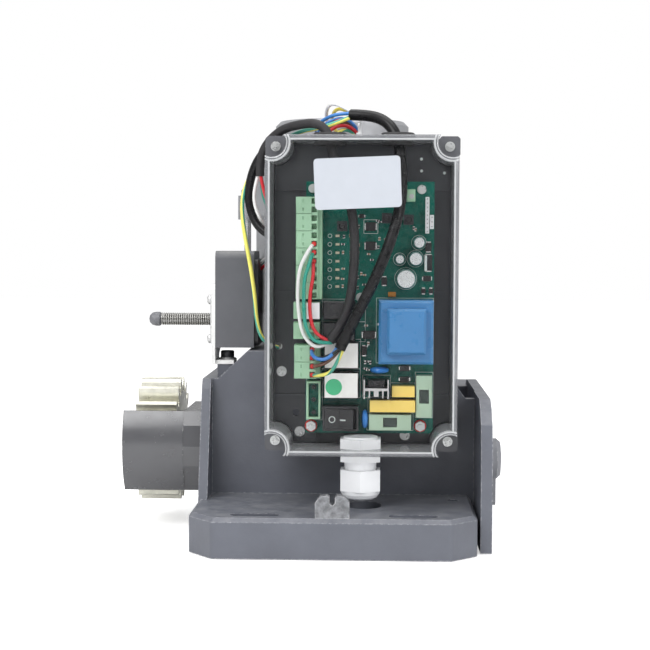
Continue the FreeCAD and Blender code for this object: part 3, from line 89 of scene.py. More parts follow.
@dataclass(frozen=True)
class Finish:
    """A procedural finish: colour, gloss, mottling, grain, worn edges (on a clear finish, painted
    edge highlights) and settled dust.
    """

    name: str
    colour: Colour
    roughness: float = 0.5
    metallic: float = 0.0
    specular: float = 0.5
    mottle: float = 0.08
    mottle_mm: float = 14.0
    rough_spread: float = 0.12
    grain: float = 0.1
    grain_mm: float = 0.6
    wear_and_edge_highlight: float = 0.0
    wear_and_edge_highlight_mm: float = 0.8
    wear_and_edge_highlight_colour: Colour = (0.6, 0.6, 0.6)
    dust: float = 0.0
    dust_colour: Colour = (0.5, 0.49, 0.46)
    coat: float = 0.0
    alpha: float = 1.0
    pattern: Pattern = Pattern.PLAIN
    second: Colour = (0.9, 0.8, 0.1)
    zones: tuple[Zone, ...] = ()
    chip_mm: float = 5.0

    def material(self) -> bpy.types.Material:
        """Return the finish as a material, made on first use.

        Returns:
            The material of this name.
        """
        made = bpy.data.materials.get("finish_" + self.name)
        return made if made else Painter(self).paint()


class Painter:
    """Builds the node tree of one finish."""

    def __init__(self, finish: Finish) -> None:
        """Start an empty node material.

        Args:
            finish: What the material shows.
        """
        self.finish = finish
        self.material = bpy.data.materials.new("finish_" + finish.name)
        self.material.use_nodes = True
        self.tree = self.material.node_tree
        self.shader = self.tree.nodes["Principled BSDF"]
        self.place = self.tree.nodes.new("ShaderNodeTexCoord").outputs["Object"]

    def node(self, kind: str, **sockets: object) -> bpy.types.Node:
        """Add a node and set its inputs.

        Args:
            kind: Node type without its ShaderNode prefix.
            **sockets: Input names, or positions such as _0, with a value or a socket to link.

        Returns:
            The new node.
        """
        made = self.tree.nodes.new("ShaderNode" + kind)
        for name, value in sockets.items():
            key = int(name[1:]) if name[0] == "_" else name.replace("_", " ")
            if isinstance(value, bpy.types.NodeSocket):
                self.tree.links.new(value, made.inputs[key])
            else:
                made.inputs[key].default_value = value
        return made

    def maths(self, operation: str, *terms: object) -> bpy.types.NodeSocket:
        """Return the output of a Math node over one to three terms.

        Args:
            operation: Name of the operation.
            *terms: Numbers or sockets to work on.

        Returns:
            The output socket.
        """
        made = self.tree.nodes.new("ShaderNodeMath")
        made.operation = operation
        for index, term in enumerate(terms):
            if isinstance(term, bpy.types.NodeSocket):
                self.tree.links.new(term, made.inputs[index])
            else:
                made.inputs[index].default_value = term
        return made.outputs[0]

    def noise(self, size_mm: float, detail: float = 3.0, rough: float = 0.5,
              stretch: Point = (1.0, 1.0, 1.0)) -> bpy.types.NodeSocket:
        """Return a noise factor with features of the given size.

        Args:
            size_mm: Size of a feature in millimetres.
            detail: Octaves of noise.
            rough: Weight of the finer octaves.
            stretch: How much finer the noise is along each axis.

        Returns:
            The factor socket.
        """
        moved = self.node("Mapping", Vector=self.place, Scale=stretch)
        made = self.node("TexNoise", Vector=moved.outputs[0], Scale=1 / (size_mm * MM),
                         Detail=detail, Roughness=rough)
        return made.outputs[0]

    def spread(self, factor: bpy.types.NodeSocket, low: float, high: float,
               to_low: float = 0.0, to_high: float = 1.0) -> bpy.types.NodeSocket:
        """Return the factor with low..high stretched over to_low..to_high, and clamped."""
        made = self.node("MapRange", _0=factor, _1=low, _2=high, _3=to_low, _4=to_high)
        return made.outputs[0]

    def mix(self, factor: object, one: object, other: object) -> bpy.types.NodeSocket:
        """Return a colour mix of two colours or colour sockets.

        Args:
            factor: Number or socket, from 0 to 1.
            one: Colour or socket shown at 0.
            other: Colour or socket shown at 1.

        Returns:
            The colour socket.
        """
        made = self.tree.nodes.new("ShaderNodeMix")
        made.data_type = "RGBA"
        for index, value in ((0, factor), (6, one), (7, other)):
            if isinstance(value, bpy.types.NodeSocket):
                self.tree.links.new(value, made.inputs[index])
            elif isinstance(value, tuple):
                made.inputs[index].default_value = (*value, 1.0)
            else:
                made.inputs[index].default_value = value
        return made.outputs[2]

    def set(self, name: str, value: object) -> None:
        """Link a socket, or set a constant, on the shader's own input.

        Args:
            name: Name of the shader's input.
            value: A constant, or a socket to link.
        """
        if isinstance(value, bpy.types.NodeSocket):
            self.tree.links.new(value, self.shader.inputs[name])
        else:
            self.shader.inputs[name].default_value = value

    def shade(self, colour: Colour, factor: float) -> Colour:
        """Return the colour made darker or lighter by a factor."""
        return tuple(min(1.0, channel * factor) for channel in colour)

    def worn_and_highlit_edges(self) -> bpy.types.NodeSocket:
        """Return a mask of convex edges, broken up by noise.

        Returns:
            The mask socket, 1 where the edge is worn; on a clear finish, 1 where a painted
            highlight lies.
        """
        soft = self.tree.nodes.new("ShaderNodeBevel")
        soft.samples = 6
        soft.inputs["Radius"].default_value = self.finish.wear_and_edge_highlight_mm * MM
        sharp = self.tree.nodes.new("ShaderNodeNewGeometry")
        turn = self.tree.nodes.new("ShaderNodeVectorMath")
        turn.operation = "DOT_PRODUCT"
        self.tree.links.new(soft.outputs[0], turn.inputs[0])
        self.tree.links.new(sharp.outputs["Normal"], turn.inputs[1])
        edge = self.spread(turn.outputs["Value"], 0.995, 0.90)
        chips = self.spread(self.noise(self.finish.chip_mm, 6.0, 0.7),
                            0.62 - 0.25 * self.finish.wear_and_edge_highlight, 0.66)
        return self.maths("MULTIPLY", edge, chips)

    def settled(self) -> bpy.types.NodeSocket:
        """Return a mask of faces that look up, where dust lies.

        Returns:
            The mask socket, scaled by the dust of the finish.
        """
        facing = self.tree.nodes.new("ShaderNodeNewGeometry").outputs["Normal"]
        up = self.node("SeparateXYZ", Vector=facing).outputs[2]
        lying = self.spread(up, 0.3, 0.95)
        patches = self.spread(self.noise(9.0, 6.0, 0.65), 0.35, 0.7)
        return self.maths("MULTIPLY", self.maths("MULTIPLY", lying, patches), self.finish.dust)

    def inside(self, zone: Zone) -> bpy.types.NodeSocket:
        """Return a mask that is 1 inside the zone.

        Args:
            zone: Box, with a round limit where it has a radius.

        Returns:
            The mask socket.
        """
        parts = self.node("SeparateXYZ", Vector=self.place)
        mask: object = 1.0
        for axis in range(3):
            above = self.maths("GREATER_THAN", parts.outputs[axis], zone.low[axis] * MM)
            below = self.maths("LESS_THAN", parts.outputs[axis], zone.high[axis] * MM)
            mask = self.maths("MULTIPLY", mask, self.maths("MULTIPLY", above, below))
        if zone.radius:
            across, along = ((zone.low[axis] + zone.high[axis]) / 2 * MM for axis in (0, 2))
            square = self.maths("ADD", self.maths("POWER", self.maths(
                "SUBTRACT", parts.outputs[0], across), 2.0), self.maths(
                    "POWER", self.maths("SUBTRACT", parts.outputs[2], along), 2.0))
            near = self.maths("LESS_THAN", square, (zone.radius * MM) ** 2)
            mask = self.maths("MULTIPLY", mask, near)
        return mask

    def stripes(self) -> bpy.types.NodeSocket:
        """Return a mask of two bands that run along a cord, from its own UV map.

        Returns:
            The mask socket.
        """
        uv = self.tree.nodes.new("ShaderNodeTexCoord").outputs["UV"]
        parts = self.node("SeparateXYZ", Vector=uv)
        wound = self.maths("MULTIPLY_ADD", parts.outputs[0], 1.3, parts.outputs[1])
        return self.maths("GREATER_THAN", self.maths("FRACT", wound), 0.55)

    def paint(self) -> bpy.types.Material:
        """Build the whole tree.

        Returns:
            The finished material.
        """
        kind = self.finish
        patches = self.spread(self.noise(kind.mottle_mm, 4.0, 0.6), 0.3, 0.7)
        colour = self.mix(patches, self.shade(kind.colour, 1 - kind.mottle),
                          self.shade(kind.colour, 1 + kind.mottle))
        if kind.pattern is Pattern.STRIPED:
            colour = self.mix(self.stripes(), colour, kind.second)
        rough = self.spread(self.noise(kind.mottle_mm * 0.6, 5.0, 0.6), 0.25, 0.75,
                            max(0.02, kind.roughness - kind.rough_spread),
                            min(1.0, kind.roughness + kind.rough_spread))
        stretch = (0.08, 1.0, 1.0) if kind.pattern is Pattern.BRUSHED else (1.0, 1.0, 1.0)
        grain = self.noise(kind.grain_mm, 4.0, 0.6, stretch)
        if kind.pattern is Pattern.CAST:
            pits = self.spread(self.noise(kind.grain_mm * 4, 4.0, 0.7), 0.3, 0.6)
            grain = self.maths("ADD", grain, pits)
        for zone in kind.zones:
            colour = self.mix(self.inside(zone), colour, zone.colour)
        if kind.dust:
            colour = self.mix(self.settled(), colour, kind.dust_colour)
        # worn edges take the wear colour; on the clear lid this paints pale highlights along its
        # edges
        if kind.wear_and_edge_highlight:
            edges = self.worn_and_highlit_edges()
            colour = self.mix(edges, colour, kind.wear_and_edge_highlight_colour)
        bump = self.node("Bump", Height=grain, Strength=kind.grain, Distance=0.2 * MM)
        self.set("Base Color", colour)
        self.set("Roughness", rough)
        self.set("Normal", bump.outputs[0])
        self.set("Metallic", kind.metallic)
        self.set("Specular IOR Level", kind.specular)
        if kind.coat:
            self.set("Coat Weight", kind.coat)
            self.set("Coat Roughness", 0.12)
        if kind.alpha < 1:
            rim = self.tree.nodes.new("ShaderNodeLayerWeight")
            rim.inputs["Blend"].default_value = 0.35
            solid = self.spread(rim.outputs["Facing"], 0.0, 1.0, kind.alpha, 0.85)
            # the clear lid's painted edge highlights are made opaque
            if kind.wear_and_edge_highlight:
                solid = self.maths("MAXIMUM", solid, edges)
            for zone in kind.zones:
                within = self.inside(zone)
                kept = self.maths("MULTIPLY", solid, self.maths("SUBTRACT", 1.0, within))
                solid = self.maths("MULTIPLY_ADD", within, zone.alpha, kept)
            self.set("Alpha", solid)
        return self.material


CASTING = Finish("casting_paint", (0.108, 0.115, 0.138), 0.40, specular=0.45, mottle=0.10,
                 mottle_mm=30, grain=0.25, grain_mm=1.2, wear_and_edge_highlight=0.75, wear_and_edge_highlight_mm=1.1,
                 wear_and_edge_highlight_colour=(0.46, 0.46, 0.48), dust=0.45, dust_colour=(0.30, 0.30, 0.31),
                 pattern=Pattern.CAST, chip_mm=1.8)
WORN_CASTING = Finish("worn_casting", (0.19, 0.195, 0.207), 0.5, 0.35, mottle=0.45,
                      mottle_mm=3.5, grain=0.6, grain_mm=0.8, wear_and_edge_highlight=0.9,
                      wear_and_edge_highlight_colour=(0.60, 0.60, 0.61), pattern=Pattern.CAST)
GUARD = Finish("guard_plastic", (0.060, 0.061, 0.068), 0.25, specular=1.0, mottle=0.05,
               rough_spread=0.05, grain=0.04, wear_and_edge_highlight=0.35, wear_and_edge_highlight_colour=(0.5, 0.5, 0.5))
GALVANISED = Finish("galvanised", (0.66, 0.65, 0.57), 0.36, 0.8, mottle=0.12, mottle_mm=5,
                    grain=0.16, wear_and_edge_highlight=0.2, wear_and_edge_highlight_colour=(0.85, 0.84, 0.8))
BRIGHT_ZINC = Finish("bright_zinc", (0.52, 0.53, 0.53), 0.30, 0.6, mottle=0.06, grain=0.06)
BRACKET_ZINC = Finish("bracket_zinc", (0.80, 0.80, 0.79), 0.4, 0.2, mottle=0.06, grain=0.06)
SPRING_STEEL = Finish("spring_steel", (0.36, 0.355, 0.34), 0.25, 0.9, mottle=0.05, grain=0.05)
STEEL = Finish("bright_steel", (0.66, 0.66, 0.66), 0.24, 1.0, mottle=0.06, grain=0.08,
               pattern=Pattern.BRUSHED)
DARK_STEEL = Finish("dark_steel", (0.05, 0.05, 0.055), 0.35, 0.6, mottle=0.15, grain=0.1)
LIMIT_SCREWS = Finish("limit_screws", (0.035, 0.035, 0.04), 0.32, 0.6, mottle=0.1,
                      zones=(Zone((-90, -40, 112), (-76, 20, 180), (0.6, 0.6, 0.6)),
                             Zone((-80, -26, 106), (-60, -14, 108.2), (0.4, 0.4, 0.4))))
ALUMINIUM = Finish("cast_aluminium", (0.31, 0.315, 0.33), 0.48, 0.5, mottle=0.08,
                   grain=0.35, grain_mm=0.9, pattern=Pattern.CAST, wear_and_edge_highlight=0.2)
LAMINATION = Finish("lamination", (0.29, 0.295, 0.31), 0.5, 0.3, mottle=0.12, grain=0.15)
COPPER = Finish("winding", (0.50, 0.20, 0.08), 0.32, 0.6, mottle=0.2, mottle_mm=3, grain=0.3)
BRONZE = Finish("wheel_bronze", (0.60, 0.38, 0.15), 0.36, 1.0, mottle=0.1)
GREY_PLASTIC = Finish("grey_plastic", (0.10, 0.103, 0.115), 0.46, mottle=0.06, grain=0.2,
                      grain_mm=0.4, dust=0.25)
KNOB_PLASTIC = Finish("knob_plastic", (0.21, 0.215, 0.235), 0.45, mottle=0.08, grain=0.2,
                      wear_and_edge_highlight=0.5)
TIP_PLASTIC = Finish("tip_plastic", (0.15, 0.152, 0.165), 0.42, mottle=0.05, grain=0.1)
TRAY_PLASTIC = Finish("tray_plastic", (0.036, 0.038, 0.044), 0.42, mottle=0.12,
                      mottle_mm=20, grain=0.12)
LID_PAINTED_GREY_BAND = (0.20, 0.205, 0.22)
LID_PAINTED_HIGHLIGHT = (0.44, 0.45, 0.46)
LID_CORNERS = tuple((x, z) for x in (-37.4, 67.4) for z in (61.3, 239.3))
# painted light in the lid's wall, where light is caught: a painted grey band outside and a painted
# highlight line inside it
LID_PAINTED_LIGHT_ZONES = (
    *(Zone(low, high, LID_PAINTED_GREY_BAND, 0.62) for low, high in (
        ((-42, -109, 70), (-38.7, -104, 231)), ((68.7, -109, 70), (72, -104, 231)),
        ((-29, -109, 241.4), (59, -104, 245)), ((-29, -109, 56), (59, -104, 59.2)))),
    *(Zone(low, high, LID_PAINTED_HIGHLIGHT, 0.95) for low, high in (
        ((-39.4, -109, 70), (-38.5, -104, 231)), ((68.5, -109, 70), (69.3, -104, 231)),
        ((-29, -109, 240.9), (59, -104, 241.8)), ((-29, -109, 58.9), (59, -104, 59.6)))),
    *(Zone((x - 12, -109, z - 12), (x + 12, -104, z + 12), colour, alpha, radius)
      for x, z in LID_CORNERS
      for colour, alpha, radius in ((LID_PAINTED_HIGHLIGHT, 0.9, 10.9), (LID_PAINTED_GREY_BAND, 0.62, 10.0),
                                    (LID_PAINTED_HIGHLIGHT, 0.8, 9.2), (LID_PAINTED_GREY_BAND, 0.5, 8.6))))
# the lid's edge wear is a painted highlight along its edges, and its zones paint a grey band and
# highlight lines in its wall
CLEAR = Finish("clear_plastic", (0.52, 0.53, 0.55), 0.06, specular=0.6, mottle=0.04,
               rough_spread=0.03, grain=0.01, alpha=0.004, wear_and_edge_highlight=1.6, wear_and_edge_highlight_mm=1.0,
                wear_and_edge_highlight_colour=(0.72, 0.73, 0.75), zones=LID_PAINTED_LIGHT_ZONES)
PAD = Finish("corner_pad", (0.085, 0.087, 0.097), 0.4, mottle=0.08, grain=0.05)
RUBBER = Finish("black_rubber", (0.012, 0.012, 0.013), 0.62, grain=0.2, grain_mm=0.3)
SHEATH = Finish("cable_sheath", (0.009, 0.009, 0.010), 0.30, specular=0.25, mottle=0.15,
                mottle_mm=8, grain=0.12, grain_mm=0.5)
THIN_SHEATH = Finish("thin_sheath", (0.030, 0.029, 0.031), 0.55, specular=0.3, mottle=0.15,
                     mottle_mm=8, grain=0.2, grain_mm=0.5)
BOARD = Finish("board_green", (0.004, 0.105, 0.078), 0.30, specular=0.25, mottle=0.22,
               mottle_mm=5, grain=0.05)
TERMINAL = Finish("terminal_green", (0.33, 0.55, 0.37), 0.42, mottle=0.04, grain=0.08)
TERMINAL_DARK = Finish("terminal_dark", (0.03, 0.034, 0.034), 0.4, 0.4, mottle=0.3,
                       mottle_mm=1.5)
BLACK_CASE = Finish("relay_case", (0.014, 0.014, 0.016), 0.25, mottle=0.1, grain=0.05)
BLACK_PLASTIC = Finish("relay_black", (0.018, 0.018, 0.020), 0.4, mottle=0.1, grain=0.1)
BLUE_CASE = Finish("transformer_blue", (0.055, 0.22, 0.47), 0.32, mottle=0.04, grain=0.06)
FILM = Finish("yellow_film", (0.84, 0.62, 0.14), 0.22, mottle=0.03, grain=0.04,
              zones=(Zone((0, -100, 60), (19.8, -60, 90), (0.04, 0.22, 0.62)),
                     Zone((0, -100, 100), (60, -60, 120), (0.04, 0.22, 0.62))))
CAN = Finish("capacitor_can", (0.035, 0.115, 0.105), 0.3, mottle=0.1)
CAN_TOP = Finish("can_top", (0.62, 0.64, 0.65), 0.3, 0.75, mottle=0.08, mottle_mm=1.2)
SINK = Finish("heat_sink", (0.015, 0.015, 0.017), 0.3, 0.3, mottle=0.1)
CUT_ALUMINIUM = Finish("cut_aluminium", (0.50, 0.50, 0.50), 0.3, 0.7, mottle=0.08)
WHITE_PLASTIC = Finish("white_plastic", (0.84, 0.85, 0.87), 0.34, mottle=0.03, grain=0.06)
PAPER = Finish("label_paper", (0.42, 0.445, 0.49), 0.5, mottle=0.02, mottle_mm=8,
               grain=0.05)
RELAY_TOP = Finish("relay_top", (0.76, 0.76, 0.74), 0.38, mottle=0.05, mottle_mm=3)
STICKER = Finish("green_sticker", (0.05, 0.42, 0.20), 0.4, mottle=0.06, mottle_mm=2)
FUSE_GREEN = Finish("fuse_green", (0.38, 0.52, 0.39), 0.4, mottle=0.04)
FUSE_GLASS = Finish("fuse_glass", (0.02, 0.04, 0.032), 0.12, specular=0.5, mottle=0.5,
                    mottle_mm=1.5, alpha=0.8)
PRINT_WHITE = Finish("print_white", (0.62, 0.68, 0.66), 0.5, mottle=0.15, mottle_mm=1)
RED_PLASTIC = Finish("red_plastic", (0.58, 0.025, 0.02), 0.35, mottle=0.08)
CHIP_BODY = Finish("chip_body", (0.012, 0.012, 0.014), 0.35, mottle=0.2, mottle_mm=1.5)
CHIP_BROWN = Finish("chip_brown", (0.24, 0.13, 0.06), 0.4, mottle=0.25, mottle_mm=0.8)
CHIP_PALE = Finish("chip_pale", (0.55, 0.50, 0.38), 0.4, mottle=0.2, mottle_mm=0.6)
ORANGE = Finish("orange_bead", (0.55, 0.22, 0.03), 0.3, mottle=0.15, mottle_mm=1)
SOLDER = Finish("solder", (0.66, 0.67, 0.66), 0.24, 0.9, mottle=0.1, mottle_mm=1)
EARTH = Finish("earth_insulation", (0.07, 0.36, 0.26), 0.35, mottle=0.05,
               pattern=Pattern.STRIPED, second=(0.84, 0.78, 0.16))
WIRE_COLOURS: dict[str, Colour] = {
    "white": (0.80, 0.80, 0.79), "green": (0.02, 0.30, 0.22), "red": (0.58, 0.02, 0.03),
    "blue": (0.045, 0.20, 0.55), "black": (0.012, 0.012, 0.012), "brown": (0.16, 0.07, 0.045),
    "yellow": (0.84, 0.72, 0.10),
}

NODE_FINISHES: dict[str, Finish] = {
    "base_housing": CASTING, "cover_lug": WORN_CASTING, "pinion_guard": GUARD,
    "drive_pinion": GALVANISED, "worm_wheel": BRONZE, "output_shaft": STEEL,
    "pinion_retainer": GALVANISED, "output_bearings": STEEL, "shaft_seal": RUBBER,
    "release_lever": KNOB_PLASTIC, "lock_barrel": STEEL, "release_spindle": STEEL,
    "motor_lower_bell": ALUMINIUM, "motor_upper_bell": ALUMINIUM, "stator_core": LAMINATION,
    "stator_windings": COPPER, "tie_bolts": STEEL, "motor_bearings": STEEL,
    "rotor": LAMINATION, "worm_shaft": STEEL, "run_capacitor": WHITE_PLASTIC,
    "limit_housing": GREY_PLASTIC, "limit_cover": BLACK_PLASTIC, "limit_bracket": BRACKET_ZINC,
    "limit_face_plate": BRIGHT_ZINC, "limit_fixings": LIMIT_SCREWS,
    "micro_switches": BLACK_PLASTIC, "limit_plug": STEEL, "limit_tip": TIP_PLASTIC,
    "box_tray": TRAY_PLASTIC, "lid_gasket": RUBBER, "box_lid": CLEAR, "grommets": RUBBER,
    "gland_locknut": WHITE_PLASTIC, "gland_body": WHITE_PLASTIC,
    "gland_cap": WHITE_PLASTIC, "gland_seal": RUBBER, "circuit_board": BOARD,
    "board_fixings": BRIGHT_ZINC, "relays": BLACK_CASE, "transformer": BLUE_CASE,
    "suppressors": FILM, "fuse_holders": FUSE_GREEN, "electrolytic_capacitors": CAN,
    "heat_sink": SINK, "tact_button_1": BLACK_PLASTIC, "tact_button_2": BLACK_PLASTIC,
    "tact_button_3": BLACK_PLASTIC, "tact_bases": DARK_STEEL, "rocker_frame": BLACK_PLASTIC,
    "rocker": BLACK_PLASTIC,
}


def dress(piece: bpy.types.Object, finish: Finish) -> None:
    """Give the whole piece one finish."""
    piece.data.materials.clear()
    piece.data.materials.append(finish.material())


def dress_nodes() -> None:
    """Give every CAD node that stays in view its finish."""
    for name, finish in NODE_FINISHES.items():
        dress(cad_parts[name], finish)


# ---------------------------------------------------------------- the bench

QUARTER = math.pi / 2
ALONG = {"X": (0, QUARTER, 0), "Y": (QUARTER, 0, 0), "Z": (0, 0, 0)}


def mm(*sizes: float) -> Vector:
    """Return millimetres as a vector in metres."""
    return Vector(sizes) * MM


def clear_selection() -> None:
    """Leave edit mode and deselect everything."""
    if bpy.context.object and bpy.context.object.mode != "OBJECT":
        bpy.ops.object.mode_set(mode="OBJECT")
    bpy.ops.object.select_all(action="DESELECT")


def take(thing: bpy.types.Object) -> None:
    """Select one object and make it active.

    Args:
        thing: Object to select.
    """
    clear_selection()
    thing.select_set(True)
    bpy.context.view_layer.objects.active = thing


class Bench:
    """One mesh on the bench: begun from a primitive, then shaped with operators."""

    def __init__(self, name: str) -> None:
        """Take a name for the piece; nothing is made yet."""
        self.name = name
        self.thing: bpy.types.Object | None = None

    def settle(self) -> "Bench":
        """Name the active object and apply its place to its mesh.

        Returns:
            The bench itself.
        """
        self.thing = bpy.context.active_object
        self.thing.name = self.name
        bpy.ops.object.transform_apply(location=True, rotation=True, scale=True)
        return self

    def block(self, low: Point, high: Point) -> "Bench":
        """Begin from a block between two corners, in millimetres.

        Args:
            low: Its lowest corner.
            high: Its highest corner.

        Returns:
            The bench itself.
        """
        clear_selection()
        middle = [(one + other) / 2 * MM for one, other in zip(low, high)]
        size = [abs(other - one) * MM for one, other in zip(low, high)]
        bpy.ops.mesh.primitive_cube_add(size=1, location=middle, scale=size)
        return self.settle()

    def bar(self, centre: Point, radius: float, depth: float, axis: str = "Y",
            sides: int = 32) -> "Bench":
        """Begin from a round bar.

        Args:
            centre: Middle of the bar in millimetres.
            radius: Its radius in millimetres.
            depth: Its length in millimetres.
            axis: The axis that it lies along.
            sides: Number of flats.

        Returns:
            The bench itself.
        """
        clear_selection()
        bpy.ops.mesh.primitive_cylinder_add(vertices=sides, radius=radius * MM,
                                            depth=depth * MM, location=mm(*centre),
                                            rotation=ALONG[axis])
        return self.settle()

    def hoop(self, centre: Point, radius: float, wire: float, axis: str = "Y",
             sides: int = 36) -> "Bench":
        """Begin from a round hoop of the given wire radius.

        Args:
            centre: Middle of the hoop in millimetres.
            radius: Radius at the middle of the wire.
            wire: Radius of the wire.
            axis: The axis that it goes round.
            sides: Number of flats round the hoop.

        Returns:
            The bench itself.
        """
        clear_selection()
        bpy.ops.mesh.primitive_torus_add(major_radius=radius * MM, minor_radius=wire * MM,
                                         major_segments=sides, minor_segments=10,
                                         location=mm(*centre), rotation=ALONG[axis])
        return self.settle()

    def pick(self, side: Point) -> "Bench":
        """Enter edit mode with the faces selected that look towards a side.

        Args:
            side: Direction that the faces look in, or nought for none.

        Returns:
            The bench itself.
        """
        take(self.thing)
        bpy.ops.object.mode_set(mode="EDIT")
        bpy.ops.mesh.select_mode(type="FACE")
        bpy.ops.mesh.select_all(action="DESELECT")
        shape = bmesh.from_edit_mesh(self.thing.data)
        for face in shape.faces:
            face.select_set(face.normal.dot(Vector(side)) > 0.9)
        bmesh.update_edit_mesh(self.thing.data)
        return self

    def inset(self, side: Point, width: float, push: float = 0.0) -> "Bench":
        """Inset the faces on one side, and push the new face out by some millimetres.

        Args:
            side: Direction that the faces look in.
            width: Width of the rim that is left, in millimetres.
            push: How far the new face is pushed out.

        Returns:
            The bench itself.
        """
        self.pick(side)
        bpy.ops.mesh.inset(thickness=width * MM, depth=0)
        if push:
            bpy.ops.mesh.extrude_region_move(
                TRANSFORM_OT_translate={"value": Vector(side) * push * MM})
        bpy.ops.object.mode_set(mode="OBJECT")
        return self

    def round_corners(self, axis: int, width: float) -> "Bench":
        """Round the edges that run along one axis, with the bevel tool.

        Args:
            axis: Index of the axis that the edges run along.
            width: Size of the rounding in millimetres.

        Returns:
            The bench itself.
        """
        self.pick((0, 0, 0))
        bpy.ops.mesh.select_mode(type="EDGE")
        shape = bmesh.from_edit_mesh(self.thing.data)
        for edge in shape.edges:
            along = (edge.verts[1].co - edge.verts[0].co).normalized()
            edge.select_set(abs(along[axis]) > 0.9)
        bmesh.update_edit_mesh(self.thing.data)
        bpy.ops.mesh.bevel(offset=width * MM, segments=5, affect="EDGES")
        bpy.ops.object.mode_set(mode="OBJECT")
        return self

    def soften(self, width: float, steps: int = 2) -> "Bench":
        """Round every sharp edge with an applied bevel.

        Args:
            width: Width of the bevel in millimetres.
            steps: Number of faces across the bevel.

        Returns:
            The bench itself.
        """
        edge = self.thing.modifiers.new("edge", "BEVEL")
        edge.width = width * MM
        edge.segments = steps
        edge.limit_method = "ANGLE"
        return self.settle_modifier(edge)

    def cut(self, *tools: "Bench") -> "Bench":
        """Cut the tools out of the piece and throw them away.

        Args:
            *tools: Bench pieces in the shape of the holes.

        Returns:
            The bench itself.
        """
        for tool in tools:
            hole = self.thing.modifiers.new("hole", "BOOLEAN")
            hole.operation = "DIFFERENCE"
            hole.solver = "EXACT"
            hole.object = tool.thing
            self.settle_modifier(hole)
            bpy.data.objects.remove(tool.thing, do_unlink=True)
        return self

    def settle_modifier(self, modifier: bpy.types.Modifier) -> "Bench":
        """Apply one modifier.

        Args:
            modifier: Modifier on this piece.

        Returns:
            The bench itself.
        """
        take(self.thing)
        bpy.ops.object.modifier_apply(modifier=modifier.name)
        return self

    def turn(self, degrees: float, axis: Point, centre: Point) -> "Bench":
        """Turn the mesh about a line through a point, by the right-hand rule.

        Args:
            degrees: Angle of the turn.
            axis: Direction of the line.
            centre: A point on the line, in millimetres.

        Returns:
            The bench itself.
        """
        pivot = mm(*centre)
        self.thing.data.transform(
            Matrix.Translation(pivot) @ Matrix.Rotation(math.radians(degrees), 4, Vector(axis))
            @ Matrix.Translation(-pivot))
        return self

    def spread(self, moves: Iterable[Point]) -> "Bench":
        """Make a copy at each move from here, and join them with their own meshes.

        Args:
            moves: Where each copy goes from here, in millimetres.

        Returns:
            The bench itself.
        """
        copies = []
        for move in moves:
            copy = self.thing.copy()
            copy.data = self.thing.data.copy()
            copy.data.transform(Matrix.Translation(mm(*move)))
            bpy.context.scene.collection.objects.link(copy)
            copies.append(copy)
        bpy.data.objects.remove(self.thing, do_unlink=True)
        return self.unite(copies)

    def unite(self, things: Sequence[bpy.types.Object]) -> "Bench":
        """Join objects into this piece.

        Args:
            things: Objects to join; the first is the one that stays.

        Returns:
            The bench itself.
        """
        clear_selection()
        for thing in things:
            thing.select_set(True)
        bpy.context.view_layer.objects.active = things[0]
        bpy.ops.object.join()
        self.thing = bpy.context.active_object
        self.thing.name = self.name
        return self

    def with_parts(self, *others: "Bench") -> "Bench":
        """Join other bench pieces of the same finish to this one."""
        return self.unite([self.thing, *(other.thing for other in others)])

    def done(self, finish: Finish, body: str = "operator", smooth: float = 35,
             stands_for: Sequence[str] = ()) -> bpy.types.Object:
        """Smooth, dress and mount the piece.

        Args:
            finish: Its finish.
            body: CAD body that it rides on.
            smooth: Edges flatter than this many degrees are shaded smooth.
            stands_for: CAD nodes that it replaces.

        Returns:
            The finished object.
        """
        take(self.thing)
        bpy.ops.object.shade_smooth_by_angle(angle=math.radians(smooth))
        dress(self.thing, finish)
        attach(self.thing, body)
        if stands_for:
            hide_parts(*stands_for)
        LOG.info("piece %s", self.name)
        return self.thing


def together(pieces: Sequence[Bench]) -> Bench:
    """Join bench pieces of one finish into the first of them."""
    return pieces[0].with_parts(*pieces[1:])


# ---------------------------------------------------------------- cords

@dataclass
class Lead:
    """A cord or single wire along its route.

    Attributes:
        name: Name of the piece.
        points: Route in millimetres, the same as the CAD tube's.
        diameter: Outside diameter in millimetres.
        finish: Its insulation.
        stands_for: CAD node that it replaces.
        length: Real length in millimetres; not used.
        stiffness: How the cord bends; not used.
    """

    name: str
    points: tuple[Point, ...]
    diameter: float
    finish: Finish
    stands_for: str = ""
    length: float = 0.0
    stiffness: str = "medium"

    def build(self) -> bpy.types.Object:
        """Make the curve, dress it and mount it.

        Returns:
            The curve object.
        """
        curve = bpy.data.curves.new(self.name, "CURVE")
        curve.dimensions = "3D"
        curve.bevel_depth = self.diameter / 2 * MM
        curve.bevel_resolution = 4
        curve.use_fill_caps = True
        spline = curve.splines.new("NURBS")
        spline.points.add(len(self.points) - 1)
        for spot, point in zip(spline.points, self.points):
            spot.co = (*(size * MM for size in point), 1.0)
        spline.order_u = 3
        spline.use_endpoint_u = True
        spline.resolution_u = 8
        piece = bpy.data.objects.new(self.name, curve)
        bpy.context.scene.collection.objects.link(piece)
        dress(piece, self.finish)
        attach(piece, "operator")
        if self.stands_for:
            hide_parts(self.stands_for)
        LOG.info("lead %s", self.name)
        return piece


